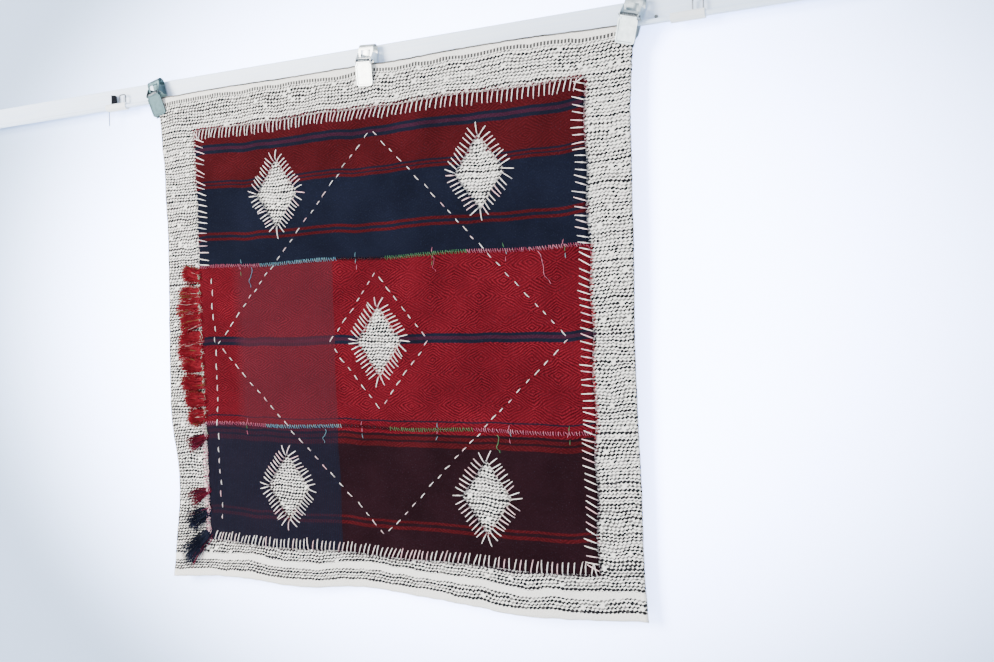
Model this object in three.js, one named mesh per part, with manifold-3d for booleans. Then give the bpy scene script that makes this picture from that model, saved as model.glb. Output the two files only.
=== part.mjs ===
// Woven wall hanging on a clip rail: a hand-woven cream and black cloth with three striped
// blanket strips sewn on it, gripped by three spring clips that sit on a rod along a batten.
// Millimetres, +Z up. The cloth faces -Y and the wall is the plane y = 0, so a depth called
// "out" is a distance from the wall. The origin is on the batten's back, over the cloth's middle.
import * as THREE from "three";
import { mergeVertices } from "three/addons/utils/BufferGeometryUtils.js";
import Module from "manifold-3d";

const wasm = await Module();
wasm.setup();

// The gap that pieces lying against each other keep.
const FIT_GAP = 0.3;

// Rail: a flat painted batten screwed to the wall, with a round rod along its lower edge.
const BATTEN = { length: 1500, height: 30, thick: 9, middleX: -60, chamfer: 1.5 };
const ROD = { radius: 3, out: 16.5, z: -16, endInset: 4, sides: 12 };
const HOLDER = { length: 42, leftX: -481, rightX: 454, front: 21, top: -10.5, bottom: -21.5 };
const LOOP = { width: 13, top: 3, wireRadius: 1, sides: 8, out: 15, leftX: -470, rightX: 466 };
const TAB = { x: -489, width: 11, top: 5, thick: 1.6, out: 14 };
const DROP_WIRE = { x: -499, radius: 0.7, length: 23 };
const SCREW = { x: 413, z: -9, radius: 2.2, proud: 1 };

// Ground cloth: its thickness, the depth of its back at the rod, and the grid of its folds.
const CLOTH = { thick: 2, out: ROD.out + ROD.radius + FIT_GAP, flatAbove: -62, hemInset: 2.5 };
const GRID = { left: -402, right: 402, top: 0, bottom: -780, columns: 34, rows: 26 };

// The four edges of the ground cloth, as uneven as they hang.
const TOP_EDGE = [
  { x: -388, z: -14 }, { x: -260, z: -12.5 }, { x: -136, z: -13.5 }, { x: -20, z: -13 },
  { x: 50, z: -14 }, { x: 124, z: -12 }, { x: 233, z: -11.5 }, { x: 350, z: -14.5 },
];
const RIGHT_EDGE = [
  { x: 388, z: -14 }, { x: 382, z: -85 }, { x: 380, z: -140 }, { x: 379, z: -310 },
  { x: 377, z: -425 }, { x: 380, z: -595 }, { x: 381, z: -700 },
];
const BOTTOM_EDGE = [
  { x: 385, z: -760 }, { x: 297, z: -766 }, { x: 204, z: -768 }, { x: 140, z: -763 },
  { x: 57, z: -759 }, { x: -43, z: -756 }, { x: -137, z: -764 }, { x: -254, z: -761 },
];
const LEFT_EDGE = [
  { x: -390, z: -769 }, { x: -382, z: -705 }, { x: -375, z: -650 }, { x: -374, z: -600 },
  { x: -384, z: -515 }, { x: -383, z: -400 }, { x: -378, z: -255 }, { x: -380, z: -130 },
];

// Soft upright folds: where each runs, how wide it spreads to each side, how far it stands out
// from its neighbours at the hem, and the height from which it grows.
const FOLDS = [
  { x: -388, spread: 34, push: 3.5, grows: -380 },
  { x: -318, spread: 42, push: -3.5, grows: -200 },
  { x: -180, spread: 62, push: 3.0, grows: -120 },
  { x: -28, spread: 70, push: -4.5, grows: -240 },
  { x: 118, spread: 46, push: 1.5, grows: -420 },
  { x: 215, spread: 66, push: 4.5, grows: -300 },
  { x: 352, spread: 44, push: -3.0, grows: -150 },
];

// Shallow swells between the folds: centre, half size and how far each stands out.
const SWELLS = [
  { x: -250, z: -330, halfWidth: 120, halfHeight: 90, push: 2.0 },
  { x: -60, z: -470, halfWidth: 110, halfHeight: 70, push: 2.5 },
  { x: 150, z: -250, halfWidth: 130, halfHeight: 100, push: -2.0 },
  { x: 260, z: -560, halfWidth: 100, halfHeight: 80, push: -2.0 },
  { x: -200, z: -640, halfWidth: 110, halfHeight: 60, push: -2.0 },
];

// Field of three striped strips, joined edge to edge and sewn on the ground cloth.
const STRIP = { thick: 1.4, out: CLOTH.thick + 0.4, wobble: 1.4, wobbleLength: 210 };
const STRIPS = [
  { name: "strip_top", left: -314, right: 320, top: -75, bottom: -284, colour: "#1f2436" },
  { name: "strip_middle", left: -309.7, right: 322, top: -284, bottom: -524, colour: "#8c1c20" },
  { name: "strip_bottom", left: -309.7, right: 321, top: -524, bottom: -706, colour: "#2a1620" },
];

// Five diamond windows cut through the strips, two, one and two.
const WINDOW = { halfWidth: 38, halfHeight: 52 };
const WINDOWS = [
  { strip: "strip_top", x: -163, z: -181 },
  { strip: "strip_top", x: 170, z: -179 },
  { strip: "strip_middle", x: 4, z: -402 },
  { strip: "strip_bottom", x: -160, z: -616 },
  { strip: "strip_bottom", x: 168, z: -614 },
];

// Fringes at the left end of two strips: a narrow woven edge with locks lying on the ground.
const FRINGE = { backing: 5, rootInset: 2.6, pitch: 5, lift: 0.6 };
const LOCK = { rootWidth: 3, width: 4, tipWidth: 1.4, rootThick: 1, thick: 3, tipThick: 1.2 };

// Clumps of each fringe, top to bottom: how far down the strip's end each is rooted, its number
// of locks, their length, their lean below the level in degrees, and how far they part.
const RED_CLUMPS = [
  { down: 13, locks: 4, length: 47, lean: -7, parting: 2 },
  { down: 37, locks: 4, length: 53, lean: 2, parting: -6 },
  { down: 61, locks: 4, length: 56, lean: 5, parting: -9 },
  { down: 85, locks: 4, length: 52, lean: 8, parting: 4 },
  { down: 109, locks: 4, length: 55, lean: 6, parting: -4 },
  { down: 133, locks: 4, length: 57, lean: 1, parting: -8 },
  { down: 157, locks: 4, length: 50, lean: 0, parting: -9 },
  { down: 181, locks: 4, length: 52, lean: 3, parting: -8 },
  { down: 205, locks: 4, length: 49, lean: 2, parting: -4 },
  { down: 228, locks: 4, length: 46, lean: 9, parting: 3 },
];
const DARK_TASSELS = [
  { down: 20, locks: 4, length: 50, lean: 24, parting: -3 },
  { down: 104, locks: 4, length: 54, lean: 22, parting: 2 },
  { down: 136, locks: 5, length: 62, lean: 26, parting: 6 },
  { down: 168, locks: 5, length: 84, lean: 41, parting: 2 },
];

// Clips: a bent spring strap over the rod, a hinged front jaw, and the pin that joins them.
const STRAP = { width: 24, thick: 1, backOut: 11.7, archTop: 8, archRadius: 5.7 };
STRAP.bend = -29;
STRAP.padTop = -37;
STRAP.jawTip = -46;
const STRAP_WINDOW = { width: 15, top: 5, bottom: -4.5 };
const EAR = { thick: 1, halfSpan: 12.7, front: 31, noseTop: -8, noseBottom: -14, top: 2 };
const PIN = { out: 28, z: -11, radius: 1.4, length: 29, knuckle: 2.7, knuckleLength: 22 };
const JAW = { width: 26, neckWidth: 22, neck: 3.2, thick: 1.1, corner: 4.5, topOut: 29.6, topZ: -12.2 };
const JAW_TIP = { out: 22.9, z: -45 };
const CLIPS = [
  { name: "clip_left", x: -391, lean: 13 },
  { name: "clip_middle", x: -1, lean: -4 },
  { name: "clip_right", x: 384, lean: -16 },
];

const radians = THREE.MathUtils.degToRad;

// Booleans

function solidOf(geometry) {
  const bare = geometry.clone();
  bare.deleteAttribute("normal");
  bare.deleteAttribute("uv");
  const merged = mergeVertices(bare, 1e-4);
  return new wasm.Manifold(new wasm.Mesh({
    numProp: 3,
    vertProperties: new Float32Array(merged.attributes.position.array),
    triVerts: new Uint32Array(merged.index.array),
  }));
}

function geometryOf(solid) {
  const mesh = solid.getMesh();
  const geometry = new THREE.BufferGeometry();
  geometry.setAttribute("position", new THREE.BufferAttribute(mesh.vertProperties, 3));
  geometry.setIndex(new THREE.BufferAttribute(mesh.triVerts, 1));
  geometry.computeVertexNormals();
  return geometry;
}

function meshOf(name, geometry, colour, roughness = 0.9, metalness = 0) {
  const material = new THREE.MeshStandardMaterial({ color: colour, roughness, metalness });
  const mesh = new THREE.Mesh(geometry, material);
  mesh.name = name;
  return mesh;
}

// Outlines and extrusions

function shapeOf(points) {
  return new THREE.Shape(points.map((p) => new THREE.Vector2(p[0], p[1])));
}

// A flat outline in x and z, drawn out from the wall between two depths.
function facePrism(shape, from, to) {
  const geometry = new THREE.ExtrudeGeometry(shape, { depth: to - from, bevelEnabled: false });
  geometry.rotateX(Math.PI / 2);
  geometry.translate(0, -from, 0);
  return geometry;
}

// A side outline in depth and z, drawn along x and centred on the given place.
function sidePrism(shape, length, middleX) {
  const geometry = new THREE.ExtrudeGeometry(shape, {
    depth: length, bevelEnabled: false, curveSegments: 6,
  });
  const outward = new THREE.Vector3(0, -1, 0);
  const upward = new THREE.Vector3(0, 0, 1);
  const along = new THREE.Vector3(-1, 0, 0);
  geometry.applyMatrix4(new THREE.Matrix4().makeBasis(outward, upward, along));
  geometry.translate(middleX + length / 2, 0, 0);
  return geometry;
}

// A bent strip seen from the side: its middle line given an even thickness.
function stripShape(line, thick) {
  const left = [];
  const right = [];
  line.forEach((point, i) => {
    const before = line[Math.max(i - 1, 0)];
    const after = line[Math.min(i + 1, line.length - 1)];
    const inward = point.clone().sub(before).normalize();
    const onward = after.clone().sub(point).normalize();
    const along = inward.clone().add(onward).normalize();
    const straight = i === 0 || i === line.length - 1;
    const spread = straight ? 1 : along.dot(onward);
    const across = new THREE.Vector2(-along.y, along.x).multiplyScalar(thick / 2 / spread);
    left.push(point.clone().add(across));
    right.unshift(point.clone().sub(across));
  });
  return new THREE.Shape([...left, ...right]);
}

// The hang of the cloth

function folded(x, z) {
  const hem = GRID.bottom;
  const eased = (from) => THREE.MathUtils.smoothstep(-z, -from, -hem);
  let out = CLOTH.out - CLOTH.hemInset * eased(CLOTH.flatAbove);
  for (const fold of FOLDS) {
    const across = (x - fold.x) / fold.spread;
    const below = THREE.MathUtils.smoothstep(-z, -CLOTH.flatAbove, -fold.grows + 160);
    out += fold.push * Math.exp(-across * across) * below * (0.35 + 0.65 * eased(fold.grows));
  }
  for (const swell of SWELLS) {
    const across = (x - swell.x) / swell.halfWidth;
    const along = (z - swell.z) / swell.halfHeight;
    out += swell.push * Math.exp(-across * across - along * along) * eased(CLOTH.flatAbove) ** 0.3;
  }
  return out;
}

const cellWidth = (GRID.right - GRID.left) / GRID.columns;
const cellHeight = (GRID.top - GRID.bottom) / GRID.rows;

function gridOut(column, row) {
  const x = GRID.left + column * cellWidth;
  const z = GRID.top - row * cellHeight;
  return z >= CLOTH.flatAbove ? CLOTH.out : folded(x, z);
}

// The depth of the cloth's back anywhere on its facets, each cell being two triangles.
function clothOut(x, z) {
  const across = THREE.MathUtils.clamp((x - GRID.left) / cellWidth, 0, GRID.columns - 1e-6);
  const down = THREE.MathUtils.clamp((GRID.top - z) / cellHeight, 0, GRID.rows - 1e-6);
  const column = Math.floor(across);
  const row = Math.floor(down);
  const a = across - column;
  const b = down - row;
  const corner = gridOut(column, row);
  const opposite = gridOut(column + 1, row + 1);
  if (a >= b) {
    const beside = gridOut(column + 1, row);
    return corner + (beside - corner) * a + (opposite - beside) * b;
  }
  const below = gridOut(column, row + 1);
  return corner + (below - corner) * b + (opposite - below) * a;
}

// A layer of cloth over the whole grid, lying on the folds at the given height.
function layer(lift, thick) {
  const positions = [];
  const index = [];
  const perRow = GRID.columns + 1;
  const perFace = perRow * (GRID.rows + 1);
  for (const face of [lift, lift + thick]) {
    for (let row = 0; row <= GRID.rows; row += 1) {
      for (let column = 0; column <= GRID.columns; column += 1) {
        const x = GRID.left + column * cellWidth;
        const z = GRID.top - row * cellHeight;
        positions.push(x, -(gridOut(column, row) + face), z);
      }
    }
  }
  const quad = (a, b, c, d) => index.push(a, b, c, a, c, d);
  for (let row = 0; row < GRID.rows; row += 1) {
    for (let column = 0; column < GRID.columns; column += 1) {
      const a = row * perRow + column;
      const b = a + 1;
      const c = a + perRow + 1;
      const d = a + perRow;
      quad(a + perFace, d + perFace, c + perFace, b + perFace);
      index.push(a, b, c, a, c, d);
    }
  }
  const wall = (from, to) => quad(from, from + perFace, to + perFace, to);
  for (let column = 0; column < GRID.columns; column += 1) {
    const last = GRID.rows * perRow;
    wall(column, column + 1);
    wall(last + column + 1, last + column);
  }
  for (let row = 0; row < GRID.rows; row += 1) {
    const right = perRow - 1;
    wall(row * perRow + right, (row + 1) * perRow + right);
    wall((row + 1) * perRow, row * perRow);
  }
  const geometry = new THREE.BufferGeometry();
  geometry.setAttribute("position", new THREE.Float32BufferAttribute(positions, 3));
  geometry.setIndex(index);
  return solidOf(geometry);
}

// A layer cut to an outline by a prism that passes right through its folds.
function cut(sheet, shape) {
  return sheet.intersect(solidOf(facePrism(shape, 0, 60)));
}

// Ground cloth

function groundOutline() {
  const points = [];
  const sides = [TOP_EDGE, RIGHT_EDGE, BOTTOM_EDGE, LEFT_EDGE];
  sides.forEach((side, i) => {
    const next = sides[(i + 1) % sides.length][0];
    const corners = [...side, next].map((p) => new THREE.Vector2(p.x, p.z));
    points.push(...new THREE.SplineCurve(corners).getPoints(18).slice(0, -1));
  });
  return new THREE.Shape(points);
}

function groundCloth() {
  const sheet = cut(layer(0, CLOTH.thick), groundOutline());
  return meshOf("ground_cloth", geometryOf(sheet), "#dcd8cf", 0.95);
}

// Striped strips

// How far a hand-cut or hand-sewn edge strays at a distance along it.
function stray(along) {
  return STRIP.wobble * Math.sin((2 * Math.PI * along) / STRIP.wobbleLength);
}

function stripOutline(strip) {
  const steps = 8;
  const half = FIT_GAP / 2;
  const points = [];
  for (let i = 0; i < steps; i += 1) {
    const x = THREE.MathUtils.lerp(strip.left, strip.right, i / steps);
    points.push([i === 0 ? strip.left : x, strip.top + stray(x + strip.top) - half]);
  }
  for (let i = 0; i < steps / 2; i += 1) {
    const z = THREE.MathUtils.lerp(strip.top, strip.bottom, i / (steps / 2));
    points.push([strip.right + (i === 0 ? 0 : stray(2 * z)), i === 0
      ? strip.top + stray(strip.right + strip.top) - half : z]);
  }
  for (let i = 0; i <= steps; i += 1) {
    const x = THREE.MathUtils.lerp(strip.left, strip.right, 1 - i / steps);
    points.push([x, strip.bottom + stray(x + strip.bottom) + half]);
  }
  return shapeOf(points);
}

function windowHole(hole) {
  const { halfWidth, halfHeight } = WINDOW;
  return shapeOf([
    [hole.x - halfWidth, hole.z], [hole.x, hole.z - halfHeight],
    [hole.x + halfWidth, hole.z], [hole.x, hole.z + halfHeight],
  ]);
}

function stripedStrip(strip, sheet) {
  const outline = stripOutline(strip);
  for (const hole of WINDOWS.filter((w) => w.strip === strip.name)) {
    outline.holes.push(windowHole(hole));
  }
  return meshOf(strip.name, geometryOf(cut(sheet, outline)), strip.colour, 0.95);
}

// Fringes

// One lock: a four-sided tapering bundle that leaves the woven edge and lies on the ground cloth.
function lock(rootX, rootZ, clump, turn) {
  const sections = [0, 0.3, 0.65, 1];
  const widths = [LOCK.rootWidth, LOCK.width, LOCK.width * 0.8, LOCK.tipWidth];
  const thicks = [LOCK.rootThick, LOCK.thick, LOCK.thick * 0.8, LOCK.tipThick];
  const positions = [];
  const index = [];
  sections.forEach((t, i) => {
    const angle = radians(clump.lean + turn + 10 * t * t);
    const x = rootX - clump.length * t * Math.cos(angle);
    const z = rootZ - clump.length * t * Math.sin(angle);
    const onEdge = STRIP.out + STRIP.thick / 2;
    const onCloth = CLOTH.thick + FRINGE.lift + thicks[i] / 2;
    const out = clothOut(x, z) + (i === 0 ? onEdge : onCloth);
    const side = [Math.sin(angle) * widths[i] / 2, -Math.cos(angle) * widths[i] / 2];
    positions.push(x - side[0], -out, z - side[1]);
    positions.push(x, -(out + thicks[i] / 2), z);
    positions.push(x + side[0], -out, z + side[1]);
    positions.push(x, -(out - thicks[i] / 2), z);
  });
  for (let i = 0; i < sections.length - 1; i += 1) {
    for (let k = 0; k < 4; k += 1) {
      const a = 4 * i + k;
      const b = 4 * i + ((k + 1) % 4);
      index.push(a, b + 4, b, a, a + 4, b + 4);
    }
  }
  const last = 4 * (sections.length - 1);
  index.push(0, 2, 3, 0, 1, 2, last, last + 2, last + 1, last, last + 3, last + 2);
  const geometry = new THREE.BufferGeometry();
  geometry.setAttribute("position", new THREE.Float32BufferAttribute(positions, 3));
  geometry.setIndex(index);
  return solidOf(geometry);
}

function fringe(name, strip, clumps, sheet, colour) {
  const right = strip.left - FIT_GAP;
  const left = right - FRINGE.backing;
  const top = strip.top - 2;
  const bottom = strip.bottom + 2;
  let solid = cut(sheet, shapeOf([[left, top], [left, bottom], [right, bottom], [right, top]]));
  for (const clump of clumps) {
    for (let i = 0; i < clump.locks; i += 1) {
      const place = i - (clump.locks - 1) / 2;
      const rootZ = strip.top - clump.down - place * FRINGE.pitch;
      const turn = (place / clump.locks) * clump.parting;
      solid = solid.add(lock(right - FRINGE.rootInset, rootZ, clump, turn));
    }
  }
  return meshOf(name, geometryOf(solid), colour, 0.95);
}

// Rail

function railPieces() {
  const { thick, height, chamfer } = BATTEN;
  const battenSide = shapeOf([
    [0, -height / 2], [thick - chamfer, -height / 2], [thick, -height / 2 + chamfer],
    [thick, height / 2 - chamfer], [thick - chamfer, height / 2], [0, height / 2],
  ]);
  const batten = sidePrism(battenSide, BATTEN.length, BATTEN.middleX);
  const rodLength = BATTEN.length - 2 * ROD.endInset;
  const rod = new THREE.CylinderGeometry(ROD.radius, ROD.radius, rodLength, ROD.sides);
  rod.rotateZ(Math.PI / 2);
  rod.translate(BATTEN.middleX, -ROD.out, ROD.z);
  const screw = new THREE.CylinderGeometry(SCREW.radius, SCREW.radius, SCREW.proud, 12);
  screw.translate(SCREW.x, -(BATTEN.thick + FIT_GAP + SCREW.proud / 2), SCREW.z);
  return [
    meshOf("rail_batten", batten, "#e9ecf2", 0.55),
    meshOf("rail_rod", rod, "#dfe3ea", 0.4),
    meshOf("rail_screw", screw, "#3c3f45", 0.4, 0.8),
  ];
}

function holderPieces(side) {
  const middle = side === "left" ? HOLDER.leftX : HOLDER.rightX;
  const back = BATTEN.thick + FIT_GAP;
  const block = shapeOf([
    [back, HOLDER.bottom + 4], [back + 4, HOLDER.bottom], [HOLDER.front - 3, HOLDER.bottom],
    [HOLDER.front, HOLDER.bottom + 3], [HOLDER.front, HOLDER.top - 2],
    [HOLDER.front - 2, HOLDER.top], [back, HOLDER.top],
  ]);
  const bore = new THREE.Path();
  bore.absarc(ROD.out, ROD.z, ROD.radius + FIT_GAP, 0, 2 * Math.PI);
  block.holes.push(bore);

  const loopX = side === "left" ? LOOP.leftX : LOOP.rightX;
  const foot = HOLDER.top + FIT_GAP;
  const bend = 3;
  const half = LOOP.width / 2;
  const path = new THREE.CurvePath();
  const at = (x, z) => new THREE.Vector3(loopX + x, -LOOP.out, z);
  path.add(new THREE.LineCurve3(at(-half, foot), at(-half, LOOP.top - bend)));
  path.add(new THREE.QuadraticBezierCurve3(
    at(-half, LOOP.top - bend), at(-half, LOOP.top), at(-half + bend, LOOP.top)));
  path.add(new THREE.LineCurve3(at(-half + bend, LOOP.top), at(half - bend, LOOP.top)));
  path.add(new THREE.QuadraticBezierCurve3(
    at(half - bend, LOOP.top), at(half, LOOP.top), at(half, LOOP.top - bend)));
  path.add(new THREE.LineCurve3(at(half, LOOP.top - bend), at(half, foot)));
  const wire = shapeOf(Array.from({ length: LOOP.sides }, (_, i) => {
    const angle = (2 * Math.PI * i) / LOOP.sides;
    return [LOOP.wireRadius * Math.cos(angle), LOOP.wireRadius * Math.sin(angle)];
  }));
  const loop = new THREE.ExtrudeGeometry(wire, {
    extrudePath: path, steps: 16, bevelEnabled: false,
  });
  return [
    meshOf(`rail_holder_${side}`, sidePrism(block, HOLDER.length, middle), "#eef0f5", 0.5),
    meshOf(`rail_loop_${side}`, loop, "#b9bec6", 0.35, 0.8),
  ];
}

function tabPieces() {
  const half = TAB.width / 2;
  const foot = HOLDER.top + FIT_GAP;
  const outline = shapeOf([
    [TAB.x - half, foot], [TAB.x + half, foot], [TAB.x + half, TAB.top - 3],
    [TAB.x + half - 3, TAB.top - 1], [TAB.x - half, TAB.top],
  ]);
  const tab = facePrism(outline, TAB.out, TAB.out + TAB.thick);
  const { radius, length } = DROP_WIRE;
  const wire = new THREE.CylinderGeometry(radius, radius, length, 8);
  wire.rotateX(Math.PI / 2);
  wire.translate(DROP_WIRE.x, -ROD.out, HOLDER.bottom - FIT_GAP - length / 2);
  return [
    meshOf("rail_tab", tab, "#15171c", 0.6),
    meshOf("rail_drop_wire", wire, "#5a5f68", 0.4, 0.8),
  ];
}

// Clips

function clipSolids() {
  const pad = CLOTH.out - FIT_GAP - STRAP.thick / 2;
  const line = [
    [pad, STRAP.jawTip], [pad, STRAP.padTop], [STRAP.backOut, STRAP.bend],
    [STRAP.backOut, STRAP.archTop],
  ];
  const middle = STRAP.backOut + STRAP.archRadius;
  for (let i = 1; i <= 7; i += 1) {
    const angle = Math.PI * (1 - i / 8);
    line.push([
      middle + STRAP.archRadius * Math.cos(angle),
      STRAP.archTop + STRAP.archRadius * Math.sin(angle),
    ]);
  }
  line.push([middle + STRAP.archRadius, STRAP.archTop], [25.6, -7.5]);
  const side = stripShape(line.map((p) => new THREE.Vector2(p[0], p[1])), STRAP.thick);
  const opening = new THREE.BoxGeometry(
    STRAP_WINDOW.width, 12, STRAP_WINDOW.top - STRAP_WINDOW.bottom);
  opening.translate(0, -(middle + STRAP.archRadius + 5), (STRAP_WINDOW.top + STRAP_WINDOW.bottom) / 2);
  let strap = solidOf(sidePrism(side, STRAP.width, 0)).subtract(solidOf(opening));

  const rodTop = ROD.z + ROD.radius + FIT_GAP;
  const ear = shapeOf([
    [STRAP.backOut, rodTop], [CLOTH.out - FIT_GAP, rodTop], [22.5, -9.5], [24.5, -9.5],
    [24.5, EAR.noseBottom], [EAR.front, EAR.noseBottom], [EAR.front, EAR.noseTop],
    [24.2, EAR.top], [STRAP.backOut, EAR.top],
  ]);
  const pinHole = new THREE.Path();
  pinHole.absarc(PIN.out, PIN.z, PIN.radius + FIT_GAP, 0, 2 * Math.PI);
  ear.holes.push(pinHole);
  for (const edge of [-1, 1]) {
    const place = edge * (EAR.halfSpan - EAR.thick / 2);
    strap = strap.add(solidOf(sidePrism(ear, EAR.thick, place)));
  }

  const slant = Math.atan2(JAW.topOut - JAW_TIP.out, JAW.topZ - JAW_TIP.z);
  const length = Math.hypot(JAW.topOut - JAW_TIP.out, JAW.topZ - JAW_TIP.z);
  const half = JAW.width / 2;
  const neck = JAW.neckWidth / 2;
  const plate = new THREE.Shape();
  plate.moveTo(-neck, 0);
  plate.lineTo(-neck, -JAW.neck);
  plate.lineTo(-half, -JAW.neck);
  plate.lineTo(-half, -length + JAW.corner);
  plate.absarc(-half + JAW.corner, -length + JAW.corner, JAW.corner, Math.PI, 1.5 * Math.PI);
  plate.lineTo(half - JAW.corner, -length);
  plate.absarc(half - JAW.corner, -length + JAW.corner, JAW.corner, 1.5 * Math.PI, 2 * Math.PI);
  plate.lineTo(half, -JAW.neck);
  plate.lineTo(neck, -JAW.neck);
  plate.lineTo(neck, 0);
  const flat = new THREE.ExtrudeGeometry(plate, {
    depth: JAW.thick, bevelEnabled: false, curveSegments: 4,
  });
  flat.rotateX(Math.PI / 2);
  flat.translate(0, JAW.thick / 2, 0);
  flat.rotateX(slant);
  flat.translate(0, -JAW.topOut, JAW.topZ);
  const ring = new THREE.Shape();
  ring.absarc(PIN.out, PIN.z, PIN.knuckle, 0, 2 * Math.PI);
  const bore = new THREE.CylinderGeometry(PIN.radius + FIT_GAP, PIN.radius + FIT_GAP, 40, 12);
  bore.rotateZ(Math.PI / 2);
  bore.translate(0, -PIN.out, PIN.z);
  const jaw = solidOf(flat)
    .add(solidOf(sidePrism(ring, PIN.knuckleLength, 0)))
    .subtract(solidOf(bore));

  const pin = new THREE.CylinderGeometry(PIN.radius, PIN.radius, PIN.length, 10);
  pin.rotateZ(Math.PI / 2);
  pin.translate(0, -PIN.out, PIN.z);
  return { strap: geometryOf(strap), jaw: geometryOf(jaw), pin };
}

// Each clip leans about the foot of its ears, and is lifted so that its lower ear meets the rod.
function clipGroup(clip, solids) {
  const foot = ROD.z + ROD.radius + FIT_GAP;
  const lift = EAR.halfSpan * Math.sin(radians(Math.abs(clip.lean)));
  const placed = new THREE.Group();
  placed.position.set(clip.x, 0, foot + lift);
  placed.rotation.y = -radians(clip.lean);
  const pieces = new THREE.Group();
  pieces.position.set(0, 0, -foot);
  pieces.add(meshOf(`${clip.name}_strap`, solids.strap, "#b7c2c4", 0.35, 0.9));
  pieces.add(meshOf(`${clip.name}_jaw`, solids.jaw, "#c3cecf", 0.35, 0.9));
  pieces.add(meshOf(`${clip.name}_pin`, solids.pin, "#5d6468", 0.35, 0.9));
  placed.add(pieces);
  return placed;
}

const hanging = new THREE.Group();
hanging.add(...railPieces(), ...holderPieces("left"), ...holderPieces("right"), ...tabPieces());

const clip = clipSolids();
for (const place of CLIPS) {
  hanging.add(clipGroup(place, clip));
}

hanging.add(groundCloth());
const stripSheet = layer(STRIP.out, STRIP.thick);
for (const strip of STRIPS) {
  hanging.add(stripedStrip(strip, stripSheet));
}
hanging.add(fringe("fringe_red", STRIPS[1], RED_CLUMPS, stripSheet, "#b3261f"));
hanging.add(fringe("fringe_dark", STRIPS[2], DARK_TASSELS, stripSheet, "#4a1526"));

export default hanging;
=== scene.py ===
"""A woven cloth with striped blanket strips sewn on it, hung by three clips from a rail.

+Z is up and the cloth faces -Y. The camera, room and lights are placed in metres, and the pieces'
own sizes are millimetres on the real thing.
"""
import math
import random
from functools import partial

import bmesh
import bpy
from mathutils import Matrix, Vector, noise
from mathutils.bvhtree import BVHTree


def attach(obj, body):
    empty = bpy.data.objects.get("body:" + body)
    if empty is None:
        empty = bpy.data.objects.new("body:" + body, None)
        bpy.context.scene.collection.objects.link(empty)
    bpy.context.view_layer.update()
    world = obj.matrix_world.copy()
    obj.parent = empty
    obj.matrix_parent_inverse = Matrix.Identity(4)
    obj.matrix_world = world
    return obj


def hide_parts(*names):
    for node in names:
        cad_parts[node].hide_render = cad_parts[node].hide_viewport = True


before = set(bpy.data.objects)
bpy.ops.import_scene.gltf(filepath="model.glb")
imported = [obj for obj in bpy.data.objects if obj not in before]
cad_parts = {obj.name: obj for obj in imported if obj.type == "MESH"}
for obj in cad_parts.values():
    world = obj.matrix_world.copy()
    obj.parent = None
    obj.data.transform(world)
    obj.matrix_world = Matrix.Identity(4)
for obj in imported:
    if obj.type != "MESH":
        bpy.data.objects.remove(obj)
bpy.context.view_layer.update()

# Camera. A full-frame camera with a 35 mm lens, held a little below the cloth's middle and well
# to its right, so that the wall turns 25 degrees away.
lens = bpy.data.cameras.new("camera")
lens.lens = 35
lens.sensor_width = 36
camera = bpy.data.objects.new("camera", lens)
bpy.context.scene.collection.objects.link(camera)
bpy.context.scene.camera = camera
right = Vector((0.90352, 0.42750, -0.02988))
up = Vector((0.01916, 0.02935, 0.99939))
camera.matrix_world = Matrix.Translation((0.7373, -1.1778, -0.3677)) @ Matrix((
    right, up, right.cross(up))).transposed().to_4x4()


# Room. White painted plasterboard behind the rail and a pale floor below the view, each with a
# painted pool of light, and the wall with a painted glow. Both can be seen through from behind, so
# that the back of the cloth shows from there.
def colour(code):
    """An sRGB hex colour made linear."""
    channels = [int(code[i:i + 2], 16) / 255 for i in (1, 3, 5)]
    return *[c / 12.92 if c <= 0.04045 else ((c + 0.055) / 1.055) ** 2.4 for c in channels], 1


def add(material, kind, settings, *inputs):
    """A shader node with its settings, or just its operation; values, nodes or sockets feed it."""
    node = material.node_tree.nodes.new("ShaderNode" + kind)
    if isinstance(settings, str):
        settings = {"operation": settings}
    for key, value in [*settings.items(), *enumerate(inputs)]:
        if isinstance(value, bpy.types.Node):
            value = value.outputs[0]
        if isinstance(value, str) and value.startswith("#"):
            value = colour(value)
        if isinstance(value, bpy.types.NodeSocket):
            material.node_tree.links.new(value, node.inputs[key])
        elif key == "stops":
            ramp = node.color_ramp
            while len(ramp.elements) < len(value):
                ramp.elements.new(1)
            for stop, (place, shade) in zip(ramp.elements, value):
                stop.position, stop.color = place, colour(shade)
        elif key == "interpolation":
            node.color_ramp.interpolation = value
        elif isinstance(key, int) or key in node.inputs:
            node.inputs[key].default_value = value
        else:
            setattr(node, key, value)
    return node


def blank(name):
    """A material with no nodes yet."""
    material = bpy.data.materials.new(name)
    material.use_nodes = True
    material.node_tree.nodes.clear()
    return material


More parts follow.
